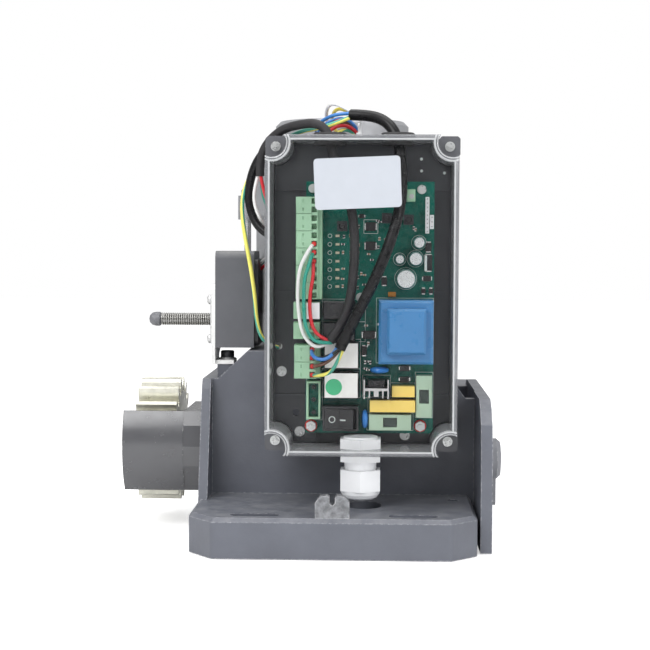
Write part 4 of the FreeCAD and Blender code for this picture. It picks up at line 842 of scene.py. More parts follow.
MOTOR_LEAD = (
    (7.5, -61, 259), (19, -66, 258.5), (29.5, -74, 254), (35.6, -79.5, 245), (37.6, -83, 232),
    (38.6, -89, 217), (37.6, -93, 203), (34, -96, 189), (28, -98, 172), (20.5, -98.3, 155),
    (11, -98.3, 137), (2.5, -97.6, 119))
LIMIT_LEAD = (
    (-48.8, -45, 222.6), (-49, -46, 233), (-44, -50, 243), (-34, -59, 250.7),
    (-22, -69, 252.8), (-11.5, -76.5, 252.8), (-5.2, -79.7, 246.6), (-3.2, -81, 236),
    (2, -85.5, 223), (7.5, -89.5, 208), (10.4, -91, 192), (10.9, -91.3, 176),
    (10, -91.3, 161), (8.3, -91.3, 147), (4, -91.6, 134), (-3.5, -93.5, 123))
EARTH_WIRE = (
    (7, -62.1, 257.3), (-2, -65, 253.5), (-12, -65.5, 250.5), (-23, -61.5, 249),
    (-34, -51.5, 244.5), (-45, -42, 236.5), (-51.5, -39, 228.5), (-57, -40, 220.5),
    (-60.3, -41.5, 209), (-60, -42.3, 195.5), (-57.4, -42.3, 180), (-54.4, -42.3, 164),
    (-52.2, -42.3, 148), (-51.2, -42, 133), (-48.5, -41, 122.5), (-43.5, -37.4, 117.4),
    (-38.2, -33, 115.3))
SINGLE_WIRES = {
    "inner_wires": {
        "limit_white": (
            (-3.5, -92.2, 123), (-8.5, -95, 119.8), (-14.5, -96, 121), (-19.8, -95, 128),
            (-22.2, -93.5, 140), (-22.8, -92.5, 153.5), (-21.8, -92, 166), (-18, -92.3, 174),
            (-14.4, -92.3, 180), (-13.3, -82.8, 180.7)),
        "limit_green": (
            (-2.6, -94.2, 122.4), (-8, -98, 122.5), (-14, -98.5, 124.5), (-18.3, -97, 133),
            (-19, -96, 147), (-18.8, -94.5, 160), (-16, -93.6, 168.3), (-14.2, -91.9, 175.2),
            (-13.3, -83, 175.7)),
        "limit_red": (
            (-4.4, -94.2, 123.6), (-9.5, -96.6, 126), (-14, -95.5, 131.5), (-15.6, -94.3, 142),
            (-15.2, -93.2, 153), (-13.4, -92.6, 161.8), (-13.6, -91.4, 170),
            (-13.3, -82.8, 170.6)),
        "motor_blue": (
            (0.9, -97.6, 119.7), (-1.8, -98.8, 115.6), (-6.5, -99.4, 112.6),
            (-12, -98, 113.4), (-15, -93.5, 116.9), (-14.1, -84, 118.1)),
        "motor_black": (
            (2.5, -99.4, 119), (-3.8, -98.6, 114.2), (-13.6, -92.9, 112.9),
            (-14.1, -83.8, 113)),
        "motor_brown": (
            (2.5, -95.8, 119), (-2.6, -94, 111.6), (-13.4, -92.6, 107.7), (-14.1, -83.8, 108)),
        "motor_earth": (
            (4.1, -97.6, 118.3), (0.8, -97.4, 110.5), (-3.6, -96.8, 104),
            (-13.4, -92.4, 102.5), (-14.1, -83.8, 102.9))},
    "outer_wires": {
        "crown_white": (
            (7.5, -61, 261.1), (0.5, -58.5, 265.5), (-5.5, -52, 266.5), (-8, -43, 263),
            (-8, -34, 258), (-7, -25, 254.5), (-6, -16, 252.8), (-5.5, -7.4, 252.5)),
        "crown_yellow": (
            (8.3, -59.2, 259.7), (2.5, -55, 263.5), (-2.5, -48, 263.2), (-4.4, -39, 259.5),
            (-3.8, -30, 255), (-2.5, -21, 252), (-1.6, -13.5, 250.8), (-1.2, -7.4, 250.5)),
        "crown_blue": (
            (6.7, -62.8, 259.7), (-1, -61.5, 259.5), (-8.5, -57.5, 256.8),
            (-13.5, -49.5, 253.5), (-14.6, -39.5, 251), (-13.2, -29.5, 249.6),
            (-11, -20, 249.2), (-9.6, -12, 249), (-9, -6.6, 249)),
        "crown_red": (
            (8, -59.9, 257.3), (1.5, -56, 256.5), (-4, -49.5, 255), (-7, -41, 253),
            (-7.6, -32, 249.5), (-6.6, -23, 246.8), (-5, -15, 246), (-4.2, -7.4, 246)),
        "switch_white": (
            (-50.1, -45, 222.6), (-52.6, -45.3, 214), (-52.3, -44.8, 204.5),
            (-48.6, -43, 195.5), (-45.4, -37, 187), (-44.4, -28, 179.5), (-45.3, -18.5, 172),
            (-51.1, -12, 168.5)),
        "switch_green": (
            (-48.2, -43.9, 222.6), (-48, -42.4, 213.5), (-45.2, -39.5, 204.5),
            (-42.6, -33, 196.5), (-41, -24, 189), (-41.2, -14.5, 181.5), (-44.5, -7, 174),
            (-51.1, -3.5, 168)),
        "switch_red": (
            (-48.2, -46.1, 222.6), (-46.6, -46.8, 213.5), (-43.2, -44.5, 204.5),
            (-40.4, -38.5, 196), (-38.8, -30, 187.5), (-39.4, -20.5, 178), (-43.2, -12.5, 170),
            (-51.1, -8, 164.5))},
}


SWITCH_LEAD = (
    (-37, -50.5, 243.5), (-44, -47.5, 240), (-51, -44.5, 232), (-55.5, -42, 220),
    (-56.5, -41, 208), (-53.5, -42, 196), (-47, -44.5, 188), (-38, -47, 183))
CROWN_ARCS = {
    "blue": ((-13, -50, 250), (-7, -51, 255.5), (2, -51.5, 258.4), (9.5, -51, 254.5),
             (12.6, -50.5, 248.5)),
    "red": ((-10, -53, 246), (-4, -54, 251.6), (3, -54, 253.6), (9.5, -53, 251),
            (12.6, -52, 247)),
    "brown": ((-12, -49, 246), (-5, -49.5, 253), (3, -50, 256), (9.5, -50, 252.5),
              (12.8, -50.8, 247.8)),
    "earth": ((-7, -51, 243), (-1, -52, 249.5), (5, -52, 251), (9.5, -51.6, 248.5),
              (12.4, -51.2, 246.2))}


def wire_finish(colour: str) -> Finish:
    """Return the insulation of one wire colour.

    Args:
        colour: Name of the wire's colour.

    Returns:
        The finish of its insulation.
    """
    if colour == "earth":
        return EARTH
    return Finish("wire_" + colour, WIRE_COLOURS[colour], 0.32, mottle=0.04, grain=0.03)


@dataclass
class Wiring:
    """All leads and single wires of the operator, in millimetres.

    Attributes:
        motor_lead: Diameter of the motor's lead.
        motor_length: Real length of the motor's lead.
        limit_lead: Diameter of the limit switch's lead.
        limit_length: Real length of the limit switch's lead.
        earth_wire: Diameter of the earth wire.
        earth_length: Real length of the earth wire.
        switch_lead: Diameter of the rocker switch's lead.
        switch_length: Real length of the rocker switch's lead.
        single_wire: Diameter of each single wire.
    """

    motor_lead: float = 6.8
    motor_length: float = 174
    limit_lead: float = 5.6
    limit_length: float = 205
    earth_wire: float = 2.6
    earth_length: float = 199
    switch_lead: float = 5.2
    switch_length: float = 79
    single_wire: float = 2.2

    def build(self) -> None:
        """Make the sheathed leads, then the single wires."""
        Lead("motor_lead_sheath", MOTOR_LEAD, self.motor_lead, SHEATH, "motor_lead",
             self.motor_length).build()
        Lead("limit_lead_sheath", LIMIT_LEAD, self.limit_lead, THIN_SHEATH, "limit_lead",
             self.limit_length).build()
        Lead("earth_wire_run", EARTH_WIRE, self.earth_wire, EARTH, "earth_wire",
             self.earth_length, "limp").build()
        Lead("switch_lead_sheath", SWITCH_LEAD, self.switch_lead, SHEATH,
             length=self.switch_length).build()
        for colour, points in CROWN_ARCS.items():
            Lead("crown_arc_" + colour, points, self.single_wire, wire_finish(colour)).build()
        for node, routes in SINGLE_WIRES.items():
            for name, points in routes.items():
                Lead("wire_" + name, points, self.single_wire,
                     wire_finish(name.split("_")[1]), node).build()


# ---------------------------------------------------------------- board

BOARD_CORNER = (-18.8, -73.0, 66.5)
POLE = 5.08
LAMP_ROWS = 7
FIRST_LAMP = 88.6
PLUGGED = ((-13.3, 180.7), (-13.3, 175.7), (-13.3, 170.6), (-14.1, 118.1), (-14.1, 113.0),
           (-14.1, 108.0), (-14.1, 102.9))


def on_board(x: float, z: float, lift: float = 0.0) -> Point:
    """Return a place in the part's frame from its place on the board, in millimetres."""
    return (BOARD_CORNER[0] + x, BOARD_CORNER[1] - lift, BOARD_CORNER[2] + z)


def standing(name: str, x: float, z: float, wide: float, high: float, tall: float,
             lift: float = 0.0) -> Bench:
    """Begin a block that stands on the board, from its middle and its size.

    Args:
        name: Name of the piece.
        x: Middle of the block across the board, in millimetres.
        z: Middle of the block up the board.
        wide: Size across the board.
        high: Size up the board.
        tall: Size out from the board.
        lift: Gap between the board and the block.

    Returns:
        The bench with the block.
    """
    low = on_board(x - wide / 2, z - high / 2, lift)
    top = on_board(x + wide / 2, z + high / 2, lift + tall)
    return Bench(name).block(low, top)


@dataclass
class TerminalBlock:
    """One pluggable terminal block: square mouths with a clamp in each, and split modules."""

    name: str
    x: float
    z: float
    poles: int
    module: int = 2

    def mouths(self) -> list[float]:
        """Return the height of each mouth's middle on the board."""
        return [self.z + POLE * (pole + 0.5 - self.poles / 2) for pole in range(self.poles)]

    def body(self) -> Bench:
        """Model the stepped body with its mouths and the splits between modules.

        Returns:
            The bench with the moulding.
        """
        half = POLE * self.poles / 2
        block = standing(self.name, self.x, self.z, 15.6, 2 * half, 10)
        block.inset(FRONT, 0.25, 1.0)
        top = standing("top", self.x - 1.2, self.z, 13.2, 2 * half - 0.4, 5, 9.9)
        top.inset(FRONT, 0.3, 0.3)
        holes = [standing("mouth", self.x + 3.1, z, 3.1, 3.4, 14, 4.5) for z in self.mouths()]
        splits = [standing("split", self.x - 2.6, self.z - half + POLE * step, 10.2, 0.25, 2, 13.7)
                  for step in range(self.module, self.poles, self.module)]
        marks = [standing("mark", self.x - 3.4, z, 0.7, 1.7, 2, 14.5) for z in self.mouths()]
        return block.with_parts(top.cut(*holes, *splits, *marks))

    def clamps(self) -> Bench:
        """Model the metal clamp that shows inside each mouth.

        Returns:
            The bench with the clamps.
        """
        clamp = standing("clamp", self.x + 3.1, self.mouths()[0], 2.5, 2.9, 5, 6)
        clamp.inset(FRONT, 0.5, -1.5)
        return clamp.spread((0, 0, POLE * step) for step in range(self.poles))


@dataclass
class Board:
    """What the circuit board carries besides its CAD parts."""

    blocks: tuple[TerminalBlock, ...] = (
        TerminalBlock("terminal_twelve_pole", 2.4, 111.7, 12),
        TerminalBlock("terminal_two_pole", 1.2, 74.5, 2),
        TerminalBlock("terminal_second_two_pole", 1.2, 62.6, 2),
        TerminalBlock("terminal_four_pole", 1.6, 44.0, 4))
    cans: tuple[tuple[float, float, float, float], ...] = (
        (67.9, 115.2, 3.7, 12), (56.4, 105.2, 3.1, 11), (65.9, 105.5, 4.3, 13),
        (60.1, 93.6, 5.9, 17))
    windows: tuple[tuple[float, float, bool], ...] = ((51.2, 7.6, True), (71.4, 23.3, False))

    def terminals(self) -> None:
        """Terminal blocks, aerial terminal and the open mains header."""
        header = standing("header", 5.2, 20.5, 8.4, 22.8, 8.5)
        header.inset(FRONT, 1.2, -6.5)
        aerial = standing("aerial", 62.8, 143.2, 5, 7.2, 9)
        aerial.inset(FRONT, 0.4, 0.4)
        bodies = [block.body() for block in self.blocks]
        bodies[0].name = "terminal_bodies"
        together(bodies).with_parts(header, aerial).soften(0.15, 1).done(
            TERMINAL, stands_for=("terminal_blocks",))
        clamps = [block.clamps() for block in self.blocks]
        clamps[0].name = "terminal_clamps"
        together(clamps).done(TERMINAL_DARK)
        floor = standing("mains_header_floor", 5.2, 20.5, 5.9, 20.3, 0.4, 2.1)
        floor.inset(FRONT, 0.3, 0.2).done(BOARD)
        pin = Bench("mains_pins").bar(on_board(5.2, 13, 3.5), 1.3, 4, sides=20)
        pin.inset(FRONT, 0.3, 0.3)
        pin.spread((0, 0, 7.5 * step) for step in range(3)).done(TERMINAL_DARK)
        screw = Bench("aerial_screw").bar(on_board(63.2, 142.6, 9.4), 1.5, 0.8, sides=24)
        screw.inset(FRONT, 0.35, -0.3).done(BRIGHT_ZINC)
        blank = standing("terminal_blank", 5.1, 74.5, 7.6, 9.6, 6, 10)
        blank.inset(FRONT, 0.4, 0.2).done(WHITE_PLASTIC)

    def ferrules(self) -> None:
        """Red insulating collars on the wire ends."""
        collars = []
        for x, z in PLUGGED:
            collar = Bench("ferrules").bar((x, -87.4, z), 1.35, 4.4, sides=20)
            collars.append(collar.inset(FRONT, 0.3, 0.2))
        together(collars).done(RED_PLASTIC)

    def relay_tops(self) -> None:
        """White tops of the two lower relays, and the bare round sticker on one of them."""
        lower = standing("relay_tops", 22, 30.2, 19.6, 14.6, 0.5, 15.95)
        lower.inset(FRONT, 0.5, 0.15)
        lower.spread(((0, 0, 0), (0, 0, 17.8))).done(RELAY_TOP)
        sticker = Bench("round_sticker").bar(on_board(17.6, 29.3, 16.7), 4.9, 0.16, sides=48)
        sticker.inset(FRONT, 0.2, 0.04).done(STICKER)

    def capacitors(self) -> None:
        """Bare metal tops of the electrolytic capacitors, scored with a cross."""
        tops = []
        for x, z, radius, tall in self.cans:
            top = Bench("can_tops").bar(on_board(x, z, tall), radius - 0.75, 0.5, sides=32)
            top.inset(FRONT, 0.3, 0.12)
            scores = [standing("score", x, z, *size, 1, tall + 0.2)
                      for size in ((radius, 0.3), (0.3, radius))]
            tops.append(top.cut(*scores))
        together(tops).done(CAN_TOP)

    def fuses(self) -> None:
        """Tinted glass over the fuse windows."""
        panes = []
        for x, z, lying in self.windows:
            size = (8.1, 5.5) if lying else (5.5, 8.1)
            pane = standing("fuse_windows", x, z, *size, 0.5, 8.6)
            panes.append(pane.inset(FRONT, 0.6, 0.3))
        together(panes).done(FUSE_GLASS)

    def heat_sink(self) -> None:
        """Bright cut ends of the heat sink's profile."""
        webs = ((-6.7, 6.7, -1.0, 0.6), (-7.5, -6.7, -5.7, 5.7), (6.7, 7.5, -5.7, 5.7),
                (-4.4, -3.6, -5.2, -1.0), (-1.4, 1.4, -4.4, -1.0), (3.6, 4.4, -5.2, -1.0))
        ends = []
        for left, right, low, high in webs:
            end = standing("heat_sink_ends", 42.8 + (left + right) / 2, 28.2 + (low + high) / 2,
                           right - left, high - low, 0.15, 17.95)
            ends.append(end.inset(FRONT, 0.12, 0.03))
        together(ends).done(CUT_ALUMINIUM)

    def chips(self) -> None:
        """Black integrated circuits and diodes with their bright leads."""
        sizes = ((38.9, 124.7, 6, 5.2, 1.6), (38.9, 113.1, 6, 5.2, 1.6),
                 (38.2, 59.6, 7.3, 4.8, 1.6),
                 (35.4, 50, 3, 5.4, 2), (59.8, 39.5, 5.6, 3.2, 1.9), (59.8, 32.8, 5.6, 3.2, 1.9),
                 (73.6, 103.1, 4.6, 9.4, 2.3), (73.6, 112.6, 3.6, 5.2, 2),
                 (72.9, 93.7, 4.6, 3.4, 2),
                 (70.8, 86.2, 2.6, 2.9, 1.1), (75.3, 86.2, 2.6, 2.9, 1.1),
                 (52.6, 118.5, 3.2, 3, 1.2), (47.2, 92, 3.4, 4.6, 1.2), (45.6, 66, 3, 2.6, 1.1),
                 (33.5, 131, 3, 2.6, 1.1))
        bodies, leads = [], []
        for x, z, wide, high, tall in sizes:
            body = standing("chips", x, z, wide, high, tall, 0.1)
            bodies.append(body.inset(FRONT, 0.35, 0.1))
            span = (1, 0) if wide > high or wide == 6 else (0, 1)
            for side in (-1, 1):
                lead = standing("chip_leads", x + side * span[0] * wide / 2,
                                z + side * span[1] * high / 2,
                                *((1.3, high - 1.2) if span[0] else (wide - 0.8, 1.3)), 0.5)
                leads.append(lead.inset(FRONT, 0.15, 0.1))
        together(bodies).done(CHIP_BODY)
        together(leads).done(SOLDER)
        band = standing("diode_band", 72, 103.1, 1.5, 9.2, 0.15, 2.48)
        band.inset(FRONT, 0.15, 0.03).done(PRINT_WHITE)
        bead = standing("tantalum_bead", 51.9, 84.1, 4.6, 2.8, 2)
        bead.inset(FRONT, 0.4, 0.3).soften(0.4).done(ORANGE)

    def small_parts(self) -> None:
        """Scattered resistors and ceramic capacitors with tinned ends, in loose rows."""
        chance = random.Random(7)
        spots = [(18.2 + column * 4.4 + chance.uniform(-0.5, 0.5),
                  FIRST_LAMP + row * POLE + chance.uniform(-0.6, 0.6))
                 for row in range(LAMP_ROWS + 1) for column in (1, 2, 3) if chance.random() < 0.75]
        spots += [(28 + chance.uniform(0, 42), 84 + chance.uniform(0, 50)) for _ in range(26)]
        spots += [(36 + chance.uniform(0, 5), 36 + chance.uniform(0, 46)) for _ in range(9)]
        spots = [(x, z) for x, z in spots
                 if not (51 < x < 77 and 81 < z < 121) and abs(z - 82.1) + abs(x - 33) > 6]
        bodies: dict[str, list[Bench]] = {"chip_resistors": [], "ceramic_chips": []}
        ends = []
        for x, z in spots:
            name = chance.choice(tuple(bodies))
            lying = chance.random() < 0.6
            long, wide = (1.3, 1.2) if lying else (1.2, 1.3)
            piece = standing(name, x, z, long, wide, 0.55)
            bodies[name].append(piece.inset(FRONT, 0.15, 0.05))
            for side in (-0.8, 0.8):
                end = standing("tinned_ends", x + side * lying, z + side * (not lying),
                               0.45 if lying else wide, wide if lying else 0.45, 0.6)
                ends.append(end.inset(FRONT, 0.08, 0.03))
        for (name, made), finish in zip(bodies.items(), (CHIP_BODY, CHIP_BROWN)):
            together(made).done(finish)
        together(ends).done(SOLDER)

    def lamps(self) -> None:
        """A printed ring and a lamp beside each pole of the long terminal block."""
        rings = Bench("lamp_rings").hoop(on_board(14.4, FIRST_LAMP, 0.02), 1.15, 0.16, sides=20)
        rings.spread((0, 0, POLE * row) for row in range(LAMP_ROWS)).done(PRINT_WHITE)
        lamp = standing("signal_lamps", 19, FIRST_LAMP, 2.3, 1.4, 0.9)
        lamp.inset(FRONT, 0.25, 0.15)
        lamp.spread((0, 0, POLE * row) for row in range(LAMP_ROWS)).done(CHIP_PALE)

    def headers(self) -> None:
        """White pin headers with bright pins."""
        strips, pins = [], []
        for x, low, high, rows in ((72.7, 120.7, 142.4, 9), (75.45, 123.4, 131.7, 3)):
            strip = standing("pin_headers", x, (low + high) / 2, 2.2, high - low, 6)
            strips.append(strip.inset(FRONT, 0.35, -1.2))
            for row in range(rows):
                pin = standing("header_pins", x, low + (high - low) * (row + 0.5) / rows,
                               0.6, 0.6, 2.2, 4.6)
                pins.append(pin.inset(FRONT, 0.12, 0.15))
        together(strips).done(WHITE_PLASTIC)
        together(pins).done(SOLDER)

    def print_lines(self) -> None:
        """Printed outlines round the larger parts."""
        outlines = ((9.9, 36, 67.6, 81), (9.9, 36, 55.4, 67.3), (42.6, 77, 42.6, 81.8),
                    (9.3, 33.2, 21.6, 38.8), (9.3, 33.2, 39.2, 56.8), (37.8, 65.5, 12.6, 22),
                    (51, 67.2, 22.2, 30.6), (0.6, 10.2, 7.8, 33.2), (34.6, 51.4, 21.4, 35.2),
                    (66.4, 77, 9.6, 37.2), (37.2, 65.2, 1.8, 12.2), (34.8, 43.2, 120.6, 128.8))
        lines = []
        for left, right, low, high in outlines:
            middle, centre = (left + right) / 2, (low + high) / 2
            for x, z, wide, tall in ((middle, low, right - left, 0.25),
                                     (middle, high, right - left, 0.25),
                                     (left, centre, 0.25, high - low),
                                     (right, centre, 0.25, high - low)):
                line = standing("printed_lines", x, z, wide, tall, 0.05)
                lines.append(line.inset(FRONT, 0.04, 0.01))
        for x, z, radius, _tall in self.cans:
            lines.append(Bench("can_ring").hoop(on_board(x, z, 0), radius + 0.7, 0.14, sides=32))
        together(lines).done(PRINT_WHITE)

    def fixings(self) -> None:
        """Red fibre washers under the two lower nuts."""
        washer = Bench("fibre_washers").hoop(on_board(3.5, 4.3, 0.45), 3.3, 0.5)
        washer.spread(((0, 0, 0), (65.9, 0, 0.3))).done(RED_PLASTIC)

    def rocker_marks(self) -> None:
        """Generic on and off marks on the rocker's two faces."""
        off = (-2.3, -85.2, 75.9)
        ring = Bench("off_mark").hoop(off, 1.75, 0.26, sides=32)
        ring.turn(2.7, (0, 0, 1), off).done(PRINT_WHITE, "rocker_key")
        on = (4.2, -85.75, 75.6)
        bar = Bench("on_mark").block((2.4, -85.95, 75.2), (6.0, -85.65, 76.0))
        bar.inset(FRONT, 0.12, 0.04)
        bar.turn(-20.7, (0, 0, 1), on).done(PRINT_WHITE, "rocker_key")

    def build(self) -> None:
        """Make everything on the board."""
        self.terminals()
        self.ferrules()
        self.relay_tops()
        self.capacitors()
        self.fuses()
        self.heat_sink()
        self.chips()
        self.small_parts()
        self.lamps()
        self.headers()
        self.print_lines()
        self.fixings()
        self.rocker_marks()


# ---------------------------------------------------------------- box, screws and spring

@dataclass
class Box:
    """Screws, the bare label and the cable tie of the control box."""

    lid_screws: tuple[Point, ...] = (
        (67.4, -62.8, 239.3), (-37.4, -62.8, 239.3), (-37.4, -62.8, 61.3), (67.4, -62.8, 61.3))
    tray_screws: tuple[Point, ...] = ((-34, -52, 102.7), (-22.8, -52, 65.8), (41.6, -52, 64))

    def cross_screw(self, name: str, place: Point, lift: float, radius: float) -> Bench:
        """Model a pan head with a cross recess, its underside at a lift from the place.

        Args:
            name: Name of the piece.
            place: Where the screw goes in, in millimetres.
            lift: Height of the head's underside over that place.
            radius: Radius of the head.

        Returns:
            The bench with the screw.
        """
        x, y, z = place
        face = y - lift
        head = Bench(name).bar((x, face - 0.8, z), radius, 1.6, sides=40)
        head.inset(FRONT, 0.5, 0.5).inset(FRONT, 0.6, 0.25)
        turn = (x * 7 + z * 3) % 90
        slots = []
        for extra in (0, 90):
            slot = Bench("slot").block((x - 1.9, face - 4, z - 0.48),
                                       (x + 1.9, face - 1.0, z + 0.48))
            slots.append(slot.turn(turn + extra, (0, 1, 0), place))
        shank = Bench("shank").bar((x, y - lift / 2, z), 1.6, lift, sides=16)
        return head.cut(*slots).with_parts(shank.inset((0, 1, 0), 0.4, 0.5))

    def screws(self) -> None:
        """Lid screws and tray screws with cross recesses, and the earth terminal."""
        heads = [self.cross_screw("lid_screw_heads", place, 6, 2.9) for place in self.lid_screws]
        together(heads).done(BRIGHT_ZINC, stands_for=("lid_screws",))
        heads = [self.cross_screw("casting_screw_heads", place, 8.4, 3.0)
                 for place in self.tray_screws]
        x, y, z = -33.0, -28.5, 113.6
        washer = Bench("washer").bar((x, y, z + 0.4), 5, 0.8, "Z").inset((0, 0, 1), 0.5, 0.1)
        bolt = Bench("bolt").bar((x, y, z + 2.2), 3.9, 2.6, "Z", 6).inset((0, 0, 1), 0.6, 0.4)
        shank = Bench("shank").bar((x, y, z - 2.5), 2, 5, "Z").inset((0, 0, -1), 0.4, 0.3)
        lug = Bench("lug").block((-39.6, -33.6, z + 0.9), (-33.5, -29, z + 1.7))
        lug.inset((0, 0, 1), 0.4, 0.2)
        together(heads).with_parts(washer, bolt, shank, lug).done(
            BRIGHT_ZINC, stands_for=("casting_screws",))

    def label(self) -> None:
        """The label on the lid's front, left bare."""
        sheet = Bench("bare_label").block((-12.5, -108.12, 201.2), (37.7, -107.95, 230.8))
        sheet.round_corners(1, 2.2).inset(FRONT, 0.4, 0.02)
        sheet.turn(-2.4, (0, 1, 0), (12.6, -108, 216)).done(PAPER)

    def cable_tie(self) -> None:
        """White strap round the leads above the box, with its tail."""
        strap = Bench("cable_tie").bar((12.8, -51.2, 250.2), 4.6, 1.9, "X", 40)
        strap.inset((1, 0, 0), 0.9, -1.7)
        head = Bench("head").block((10.9, -56.6, 245.2), (14.3, -53.6, 248.6))
        head.inset(FRONT, 0.5, 0.4)
        tail = Bench("tail").block((13.0, -56.2, 248.4), (14.0, -54.6, 256.5))
        tail.inset((0, 0, 1), 0.2, 0.8)
        strap.with_parts(head.soften(0.3), tail).done(WHITE_PLASTIC)

    def corner_pads(self) -> None:
        """Grey corner pads round the lid screws, square on their outer sides."""
        pads = []
        for x, _y, z in self.lid_screws:
            side = 1 if x > 15 else -1
            end = 1 if z > 150 else -1
            pad = Bench("corner_pads").bar((x, -69.0, z), 7.9, 0.5, sides=64)
            pad.inset(FRONT, 0.5, 0.12)
            over = Bench("over").block((x + side * 6.3, -75, z - 12), (x + side * 12, -60, z + 12))
            above = Bench("above").block((x - 12, -75, z + end * 6.3), (x + 12, -60, z + end * 12))
            pads.append(pad.cut(over, above))
        together(pads).done(PAD)

    def specks(self) -> None:
        """Pale moulding marks that show on the tray behind the board's right edge."""
        dot = Bench("tray_marks").bar((50.6, -60.8, 232.4), 0.9, 0.4, sides=16)
        dot.inset(FRONT, 0.2, 0.1)
        dot.spread(((0, 0, 0), (0.1, 0, -7.2), (14, 0, -8.4))).done(PRINT_WHITE)

    def build(self) -> None:
        """Make everything on the box."""
        self.screws()
        self.corner_pads()
        self.label()
        self.cable_tie()
        self.specks()


@dataclass
class Spring:
    """Close-wound helix of the limit switch, made by turning a round wire section."""

    start: float = -81.7
    end: float = -115.8
    depth: float = -8.0
    height: float = 131.8
    radius: float = 3.45
    wire: float = 0.62
    coils: int = 23

    def build(self) -> bpy.types.Object:
        """Model the helix along -X and mount it on the limit arm.

        Returns:
            The spring.
        """
        clear_selection()
        bpy.ops.mesh.primitive_circle_add(vertices=12, radius=self.wire * MM,
                                          location=(self.radius * MM, 0, 0),
                                          rotation=(math.pi / 2, 0, 0), fill_type="NGON")
        spring = Bench("limit_spring_helix").settle()
        twist = spring.thing.modifiers.new("twist", "SCREW")
        twist.axis = "Z"
        twist.angle = math.tau
        pitch = (self.start - self.end - 2 * self.wire) / self.coils
        twist.screw_offset = pitch * MM
        twist.iterations = self.coils
        twist.steps = 28
        twist.render_steps = 28
        twist.use_merge_vertices = True
        spring.settle_modifier(twist)
        spring.thing.data.transform(
            Matrix.Translation(mm(self.start - self.wire, self.depth, self.height))
            @ Matrix.Rotation(-math.pi / 2, 4, "Y"))
        take(spring.thing)
        bpy.ops.object.mode_set(mode="EDIT")
        bpy.ops.mesh.select_all(action="SELECT")
        bpy.ops.mesh.remove_doubles(threshold=0.00001)
        bpy.ops.mesh.normals_make_consistent(inside=False)
        bpy.ops.object.mode_set(mode="OBJECT")
        return spring.done(SPRING_STEEL, "limit_arm", 60, ("limit_spring",))


# ---------------------------------------------------------------- studio

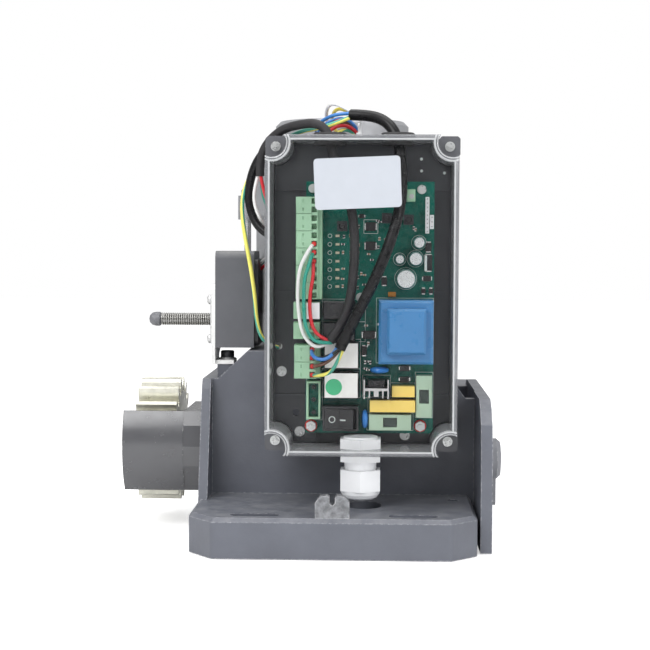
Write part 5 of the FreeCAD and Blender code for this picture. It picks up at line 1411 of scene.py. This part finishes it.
@dataclass
class Studio:
    """Camera, lamps, floor and white surroundings."""

    place: Point = (24.74, -985.95, 180.01)
    pitch: float = 3.02
    yaw: float = 2.0
    roll: float = 0.25
    focal: float = 83.907692
    sensor: float = 36

    def camera(self) -> None:
        """Stand the camera in front of the control box."""
        pitch, yaw, roll = (math.radians(turn) for turn in (self.pitch, self.yaw, self.roll))
        forward = Vector((-math.sin(yaw) * math.cos(pitch), math.cos(yaw) * math.cos(pitch),
                          -math.sin(pitch)))
        level = forward.cross(Vector((0, 0, 1))).normalized()
        upright = level.cross(forward)
        right = level * math.cos(roll) + upright * math.sin(roll)
        top = -level * math.sin(roll) + upright * math.cos(roll)
        lens = bpy.data.cameras.new("studio_camera")
        lens.sensor_width = self.sensor
        lens.lens = self.focal
        lens.clip_start = 0.05
        eye = bpy.data.objects.new("studio_camera", lens)
        bpy.context.scene.collection.objects.link(eye)
        turned = Matrix((right, top, -forward)).transposed().to_4x4()
        eye.matrix_world = Matrix.Translation(Vector(self.place) * MM) @ turned
        bpy.context.scene.camera = eye

    def lamp(self, name: str, place: Point, target: Point, size: float, power: float) -> None:
        """Add a soft square lamp that looks at a point.

        Args:
            name: Name of the lamp.
            place: Where it hangs, in metres.
            target: What it looks at, in metres.
            size: Side of the lamp in metres.
            power: Watts.
        """
        light = bpy.data.lights.new(name, "AREA")
        light.size = size
        light.energy = power
        lamp = bpy.data.objects.new(name, light)
        bpy.context.scene.collection.objects.link(lamp)
        lamp.location = place
        aim = Vector(target) - Vector(place)
        lamp.rotation_euler = aim.to_track_quat("-Z", "Y").to_euler()

    def world(self) -> None:
        """White for the camera and behind clear parts, a plain softer light for the rest."""
        sky = bpy.data.worlds.new("studio_world")
        bpy.context.scene.world = sky
        sky.use_nodes = True
        tree = sky.node_tree
        back = tree.nodes["Background"]
        back.inputs["Color"].default_value = (1, 1, 1, 1)
        path = tree.nodes.new("ShaderNodeLightPath")
        seen = tree.nodes.new("ShaderNodeMath")
        seen.operation = "MAXIMUM"
        tree.links.new(path.outputs["Is Camera Ray"], seen.inputs[0])
        tree.links.new(path.outputs["Is Transmission Ray"], seen.inputs[1])
        level = tree.nodes.new("ShaderNodeMapRange")
        tree.links.new(seen.outputs[0], level.inputs[0])
        level.inputs[3].default_value = 0.55
        level.inputs[4].default_value = 1.0
        tree.links.new(level.outputs[0], back.inputs["Strength"])

    def floor(self) -> None:
        """Lay a pale floor under the casting."""
        clear_selection()
        bpy.ops.mesh.primitive_plane_add(size=8, location=(0, 0, -0.0005))
        ground = bpy.context.active_object
        ground.name = "floor"
        bpy.ops.object.transform_apply(location=True, rotation=True, scale=True)
        paper = bpy.data.materials.new("floor_paper")
        paper.use_nodes = True
        tree = paper.node_tree
        shader = tree.nodes["Principled BSDF"]
        shader.inputs["Base Color"].default_value = (0.93, 0.93, 0.93, 1)
        shader.inputs["Roughness"].default_value = 0.7
        shader.inputs["Specular IOR Level"].default_value = 0.15
        path = tree.nodes.new("ShaderNodeLightPath")
        glow = tree.nodes.new("ShaderNodeMath")
        glow.operation = "MULTIPLY"
        tree.links.new(path.outputs["Is Camera Ray"], glow.inputs[0])
        glow.inputs[1].default_value = 0.5
        shader.inputs["Emission Color"].default_value = (1, 1, 1, 1)
        tree.links.new(glow.outputs[0], shader.inputs["Emission Strength"])
        ground.data.materials.append(paper)

    def build(self) -> None:
        """Set the whole studio up."""
        self.camera()
        self.world()
        self.floor()
        self.lamp("key_lamp", (-0.7, -1.1, 1.1), (0, 0, 0.13), 1.0, 17)
        self.lamp("fill_lamp", (0.95, -1.0, 0.7), (0, 0, 0.13), 0.9, 10)
        self.lamp("top_lamp", (0.0, 0.1, 1.5), (0, 0, 0.1), 1.2, 12)
        bpy.context.scene.view_settings.view_transform = "Standard"


def main() -> None:
    """Build the studio, dress the parts and add the pieces."""
    logging.basicConfig(level=logging.INFO)
    Studio().build()
    dress_nodes()
    Wiring().build()
    Board().build()
    Box().build()
    Spring().build()


if __name__ == "__main__":
    main()
